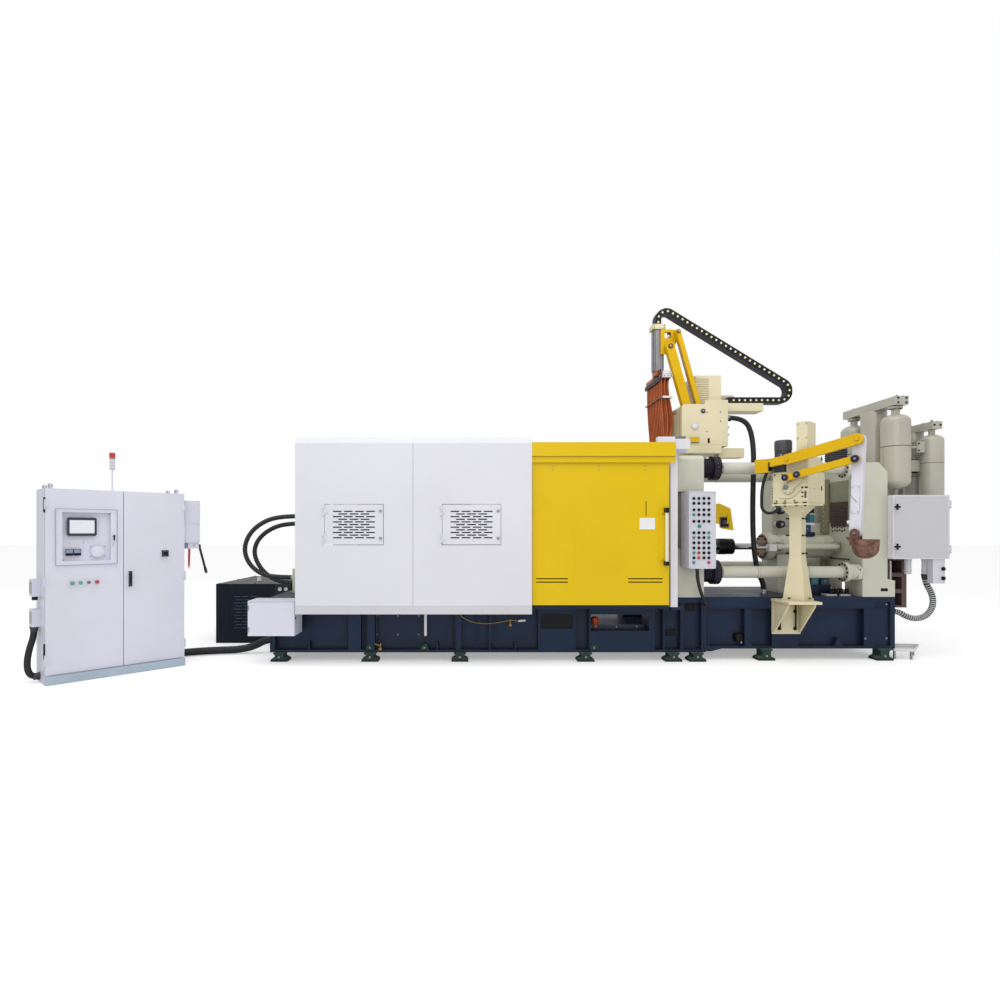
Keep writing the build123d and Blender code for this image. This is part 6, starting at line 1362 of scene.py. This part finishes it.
LINK = 71
links = []
for spot, along in rounded(CHAIN_ROUTE, CHAIN_BENDS, LINK):
    up = Vector((-along.y, along.x))
    links += [cap_yellow, stud((spot.x, -150, spot.y), FRONT, 13.5, 3, 4.5, 11.5, 16)]
    edge_spot = spot - along * LINK / 2
    high, low, half = edge_spot + up * 37, edge_spot - up * 37, along * 1.6
    corners = [high - half, high + half, low + half, low - half]
    links += [black_plastic_and_shade, cut(corners, (-151.2, -150)), cut(corners, (-30, -28.8))]
    outer, inner, half = spot - up * 38.5, spot - up * 36, along * 22
    links += [chain_plastic, cut([outer - half, outer + half, inner + half, inner - half], (-146, -34))]
build("chain_caps", links, edge=0)


# Oil tank: a welded steel tank in the base's blue, with louvres in its front and gauges on its top.
# Its top is a dark grey cover plate with a rim; a dark block carries two dials.
tank_top = coated(
    "dark_grey_cover_plate", "#2a2c33", 0.45, vary=0.1, vary_mm=300, grain_mm=4, grain=0.1, dust=0.08, shine=0.3,
)
tank_enamel = coated(
    "near_black_tank_enamel", "#0d1827", 0.4, vary=0.14, vary_mm=400, grain_mm=5, grain=0.07, dust=0.05, corner_shade=0.4,
    shine=0.25,
)
dress(tank_enamel, "oil_tank")
tank = [tank_top, slab((-4112, -3054), (414, 1856), (795, 799))]
for row in range(11):
    z = 190 + 42 * row
    hood = [(410, z + 20), (404, z + 16), (402, z + 11), (405, z + 11), (410, z + 14)]
    for x in [column + row % 2 * 27 for column in (-3830, -3721, -3612)]:
        # The lighter blue hood lips are a painted highlight and the black slots under them painted shade.
        tank += [
            blue_enamel_and_highlight, cut(hood, (x - 46, x + 46), "x"),
            black_plastic_and_shade, slab((x - 44, x + 44), (408.5, 411), (z - 4, z + 11)),
        ]
tank += [
    black_screws, *(hex_bolt((x, y, 799), UP, 18) for x in (-4080, -3600, -3100) for y in (440, 1100, 1820)),
    tank_enamel, *(rod((x, 409, 130), UP, 5, 600, 8) for x in (-4060, -3950, -3500, -3100)),
]
for x in (-3230, -3150):
    tank += [
        black_plastic_and_shade, stud((x, 350, 735), FRONT, 32, 10, 12, 28, 28),
        white_pvc, rod((x, 338.5, 735), FRONT, 26, 1.5, 28),
        signal_orange, slab((x - 1.5, x + 1.5), (336, 338), (735, 755)),
    ]
tank += [
    tank_top, slab((-3296, -3084), (348, 350), (618, 784)),
    white_pvc, turned([(0, 30), (12, 30), (14, 26), (50, 26), (54, 20)], (-3700, 900, 799), UP, 24),
]
build("oil_tank_fittings", tank)


# Junction box: a painted steel box on the floor by the clamp unit, with a lid and a lock.
# It is the same light grey as the cabinet.
cabinet_coat = coated(
    "pale_lilac_powder_coat", "#dadae8", 0.4, vary=0.035, vary_mm=700, grain_mm=5, grain=0.1, dust=0.06,
)
dress(cabinet_coat, "junction_box")
box = [
    black_plastic_and_shade, slab((-3154, -2644), (-1051, -1049), (722, 725)),
    stud((-2640, -1015, 541), RIGHT, 15, 5, 7, 11, 22),
    plated_steel, rod((-2640, -1015, 541), RIGHT, 6, 8.5, 3),
    *(turned([(-26, 7), (26, 7)], (-3150, -1054, z), UP, 12) for z in (420, 660)),
]
build("junction_box_lock", box)


# Control cabinet: folded sheet, powder coated pale lilac grey, on a bluish plinth, with lifting eyes.
# Its left door holds a framed recess with a blank screen, two meters, buttons and a key.
dress(cabinet_coat, "cabinet", "cabinet_left_door", "cabinet_right_door", "switch_box", "signal_tower")
plinth_coat = coated("bluish_plinth_coat", "#a9bac8", 0.45, vary=0.06, vary_mm=300, grain_mm=4, grain=0.1, dust=0.1)
screen_glass = coated("pale_screen_glass", "#e9ecef", 0.12, vary=0.02, vary_mm=300, grain_mm=40, grain=0.0, coat=0.4)
bezel = coated("dark_screen_bezel", "#2d3440", 0.35, vary=0.08, vary_mm=80, grain_mm=2, grain=0.05)
meter_face = coated("blue_grey_meter_face", "#8c93b4", 0.3, vary=0.05, vary_mm=60, grain_mm=2, grain=0.03)
green_lamp = coated("light_green_lens", "#34b684", 0.2, vary=0.1, vary_mm=20, grain_mm=2, grain=0.0, coat=0.3)
dark_red_lamp = coated("dark_red_lens", "#8e1a24", 0.2, vary=0.1, vary_mm=20, grain_mm=2, grain=0.0, coat=0.3)
body = [plinth_coat, slab((2, 1308), (-26, -24), (2, 88))]
for x in (60, 1250):
    for y in (90, 360):
        body += [plated_steel, stud((x, y, 1930), UP, 20, 8, 10, 12, 20)]
        eye = [(spot[0], spot[2]) for spot in ring((x, y, 1960), "xz", 18, 12)]
        body += [plated_steel, *strands([*eye, eye[0]], y, 6)]
for z in (588, 888):
    body += [
        plated_steel, *(slab((-77, -74), (190 + row * 46, 226 + row * 46), (z, z + 120)) for row in range(3)),
        black_plastic_and_shade, stud((-40, 255, z - 30), DOWN, 26, 34, 40, 20, 20),
    ]
build("cabinet_fittings", body, place=cabinet_place)
left = []
recess_line = [(85, 1170), (625, 1170), (625, 1730), (85, 1730), (85, 1170)]
left += [meter_face, *strands(recess_line, -24, 2.6, 6)]
screen_frame = [
    (184, 1472), (196, 1460), (432, 1460), (444, 1472), (444, 1634), (432, 1646), (196, 1646), (184, 1634),
]
left += [bezel, cut(screen_frame, (4, 16)), screen_glass, slab((206, 424), (2.5, 4.2), (1486, 1620))]
for x in (206, 274):
    left += [
        black_plastic_and_shade, slab((x - 33, x + 33), (8, 16), (1262, 1330)),
        meter_face, slab((x - 29, x + 29), (6, 8.5), (1288, 1326)),
    ]
left += [
    cabinet_coat, stud((455, 16, 1300), FRONT, 60, 3, 5, 56, 36),
    gland_nylon,
    *(
        rod((x, 16, z), FRONT, 5, 3, 12)
        for x, z in (
            (390, 1250), (390, 1352), (520, 1250), (520, 1352), (206, 1390), (330, 1390), (150, 1220), (560, 1690),
        )
    ),
    plated_steel, stud((592, -36, 1455), FRONT, 14, 6, 8, 10, 18),
    black_plastic_and_shade, slab((583, 596), (-58, -44), (1416, 1470)),
    plated_steel, rod((590, -56, 1420), (-0.25, 0, -1), 3, 70, 8),
]
for x, lens, size in ((226, green_lamp, 17), (296, green_lamp, 15), (366, dark_red_lamp, 13), (440, red_cap, 17)):
    left += [
        plated_steel, stud((x, -24, 990), FRONT, size + 5, 3, 5, size + 2, 24),
        lens, stud((x, -28, 990), FRONT, size, 14, 18, size - 4, 20),
    ]
build("left_door_fittings", left, "cabinet_left_door", place=cabinet_place, edge=0.8)
hinges = [black_plastic_and_shade, *(rod((-6, -4, z), UP, 8, 150, 14) for z in (1690, 260))]
build("left_door_hinges", hinges, place=cabinet_place, edge=0.8)
right = [
    bezel, slab((730, 762), (-45, -24), (925, 1088)),
    black_plastic_and_shade, slab((738, 754), (-52, -45), (960, 1066)), slab((1060, 1130), (-30, -24), (1230, 1300)),
    plated_steel, rod((1095, -30, 1265), FRONT, 30, 3, 28),
    black_plastic_and_shade, stud((1095, -33, 1265), FRONT, 25, 12, 14, 22, 24),
    slab((1087, 1103), (-58, -44), (1240, 1290)),
]
build("right_door_fittings", right, "cabinet_right_door", place=cabinet_place, edge=1.5)
tower = [
    red_cap, stud((630, 180, 2291), UP, 28.5, 52, 56, 24, 28),
    gland_nylon, *(rod((630, 180, 2176 + i * 30), UP, 26, 3, 24) for i in range(4)),
    black_plastic_and_shade, rod((630, 180, 2282), UP, 27, 8, 24),
    plated_steel, stud((630, 180, 1930), UP, 24, 6, 8, 12, 20),
]
build("signal_tower_lamp", tower, place=cabinet_place, edge=0.5)
dress(black_plastic_and_shade, "switch_lever")
switch = [
    cabinet_coat, slab((1322, 1483), (38, 42), (1600, 1830)),
    plated_steel, *(cap_screw((x, 42, z), FRONT, 9) for x in (1330, 1475) for z in (1400, 1580, 1840)),
    red_cap, cut([(1374, 1310), (1398, 1310), (1392, 1130), (1382, 1080), (1372, 1130)], (64, 78)),
    plated_steel, hex_bolt((1430, 60, 1345), FRONT, 18),
]
build("switch_box_fittings", switch, place=cabinet_place, edge=0.8)
lever = [
    plated_steel, stud((1521, 110, 1335), RIGHT, 15, 5, 6, 11, 18),
    black_plastic_and_shade, turned([(0, 15), (60, 16), (64, 12)], (1513, -58, 1093), (0, -0.57, -0.82), 16),
]
build("switch_lever_grip", lever, "switch_lever", place=cabinet_place, edge=0.5)
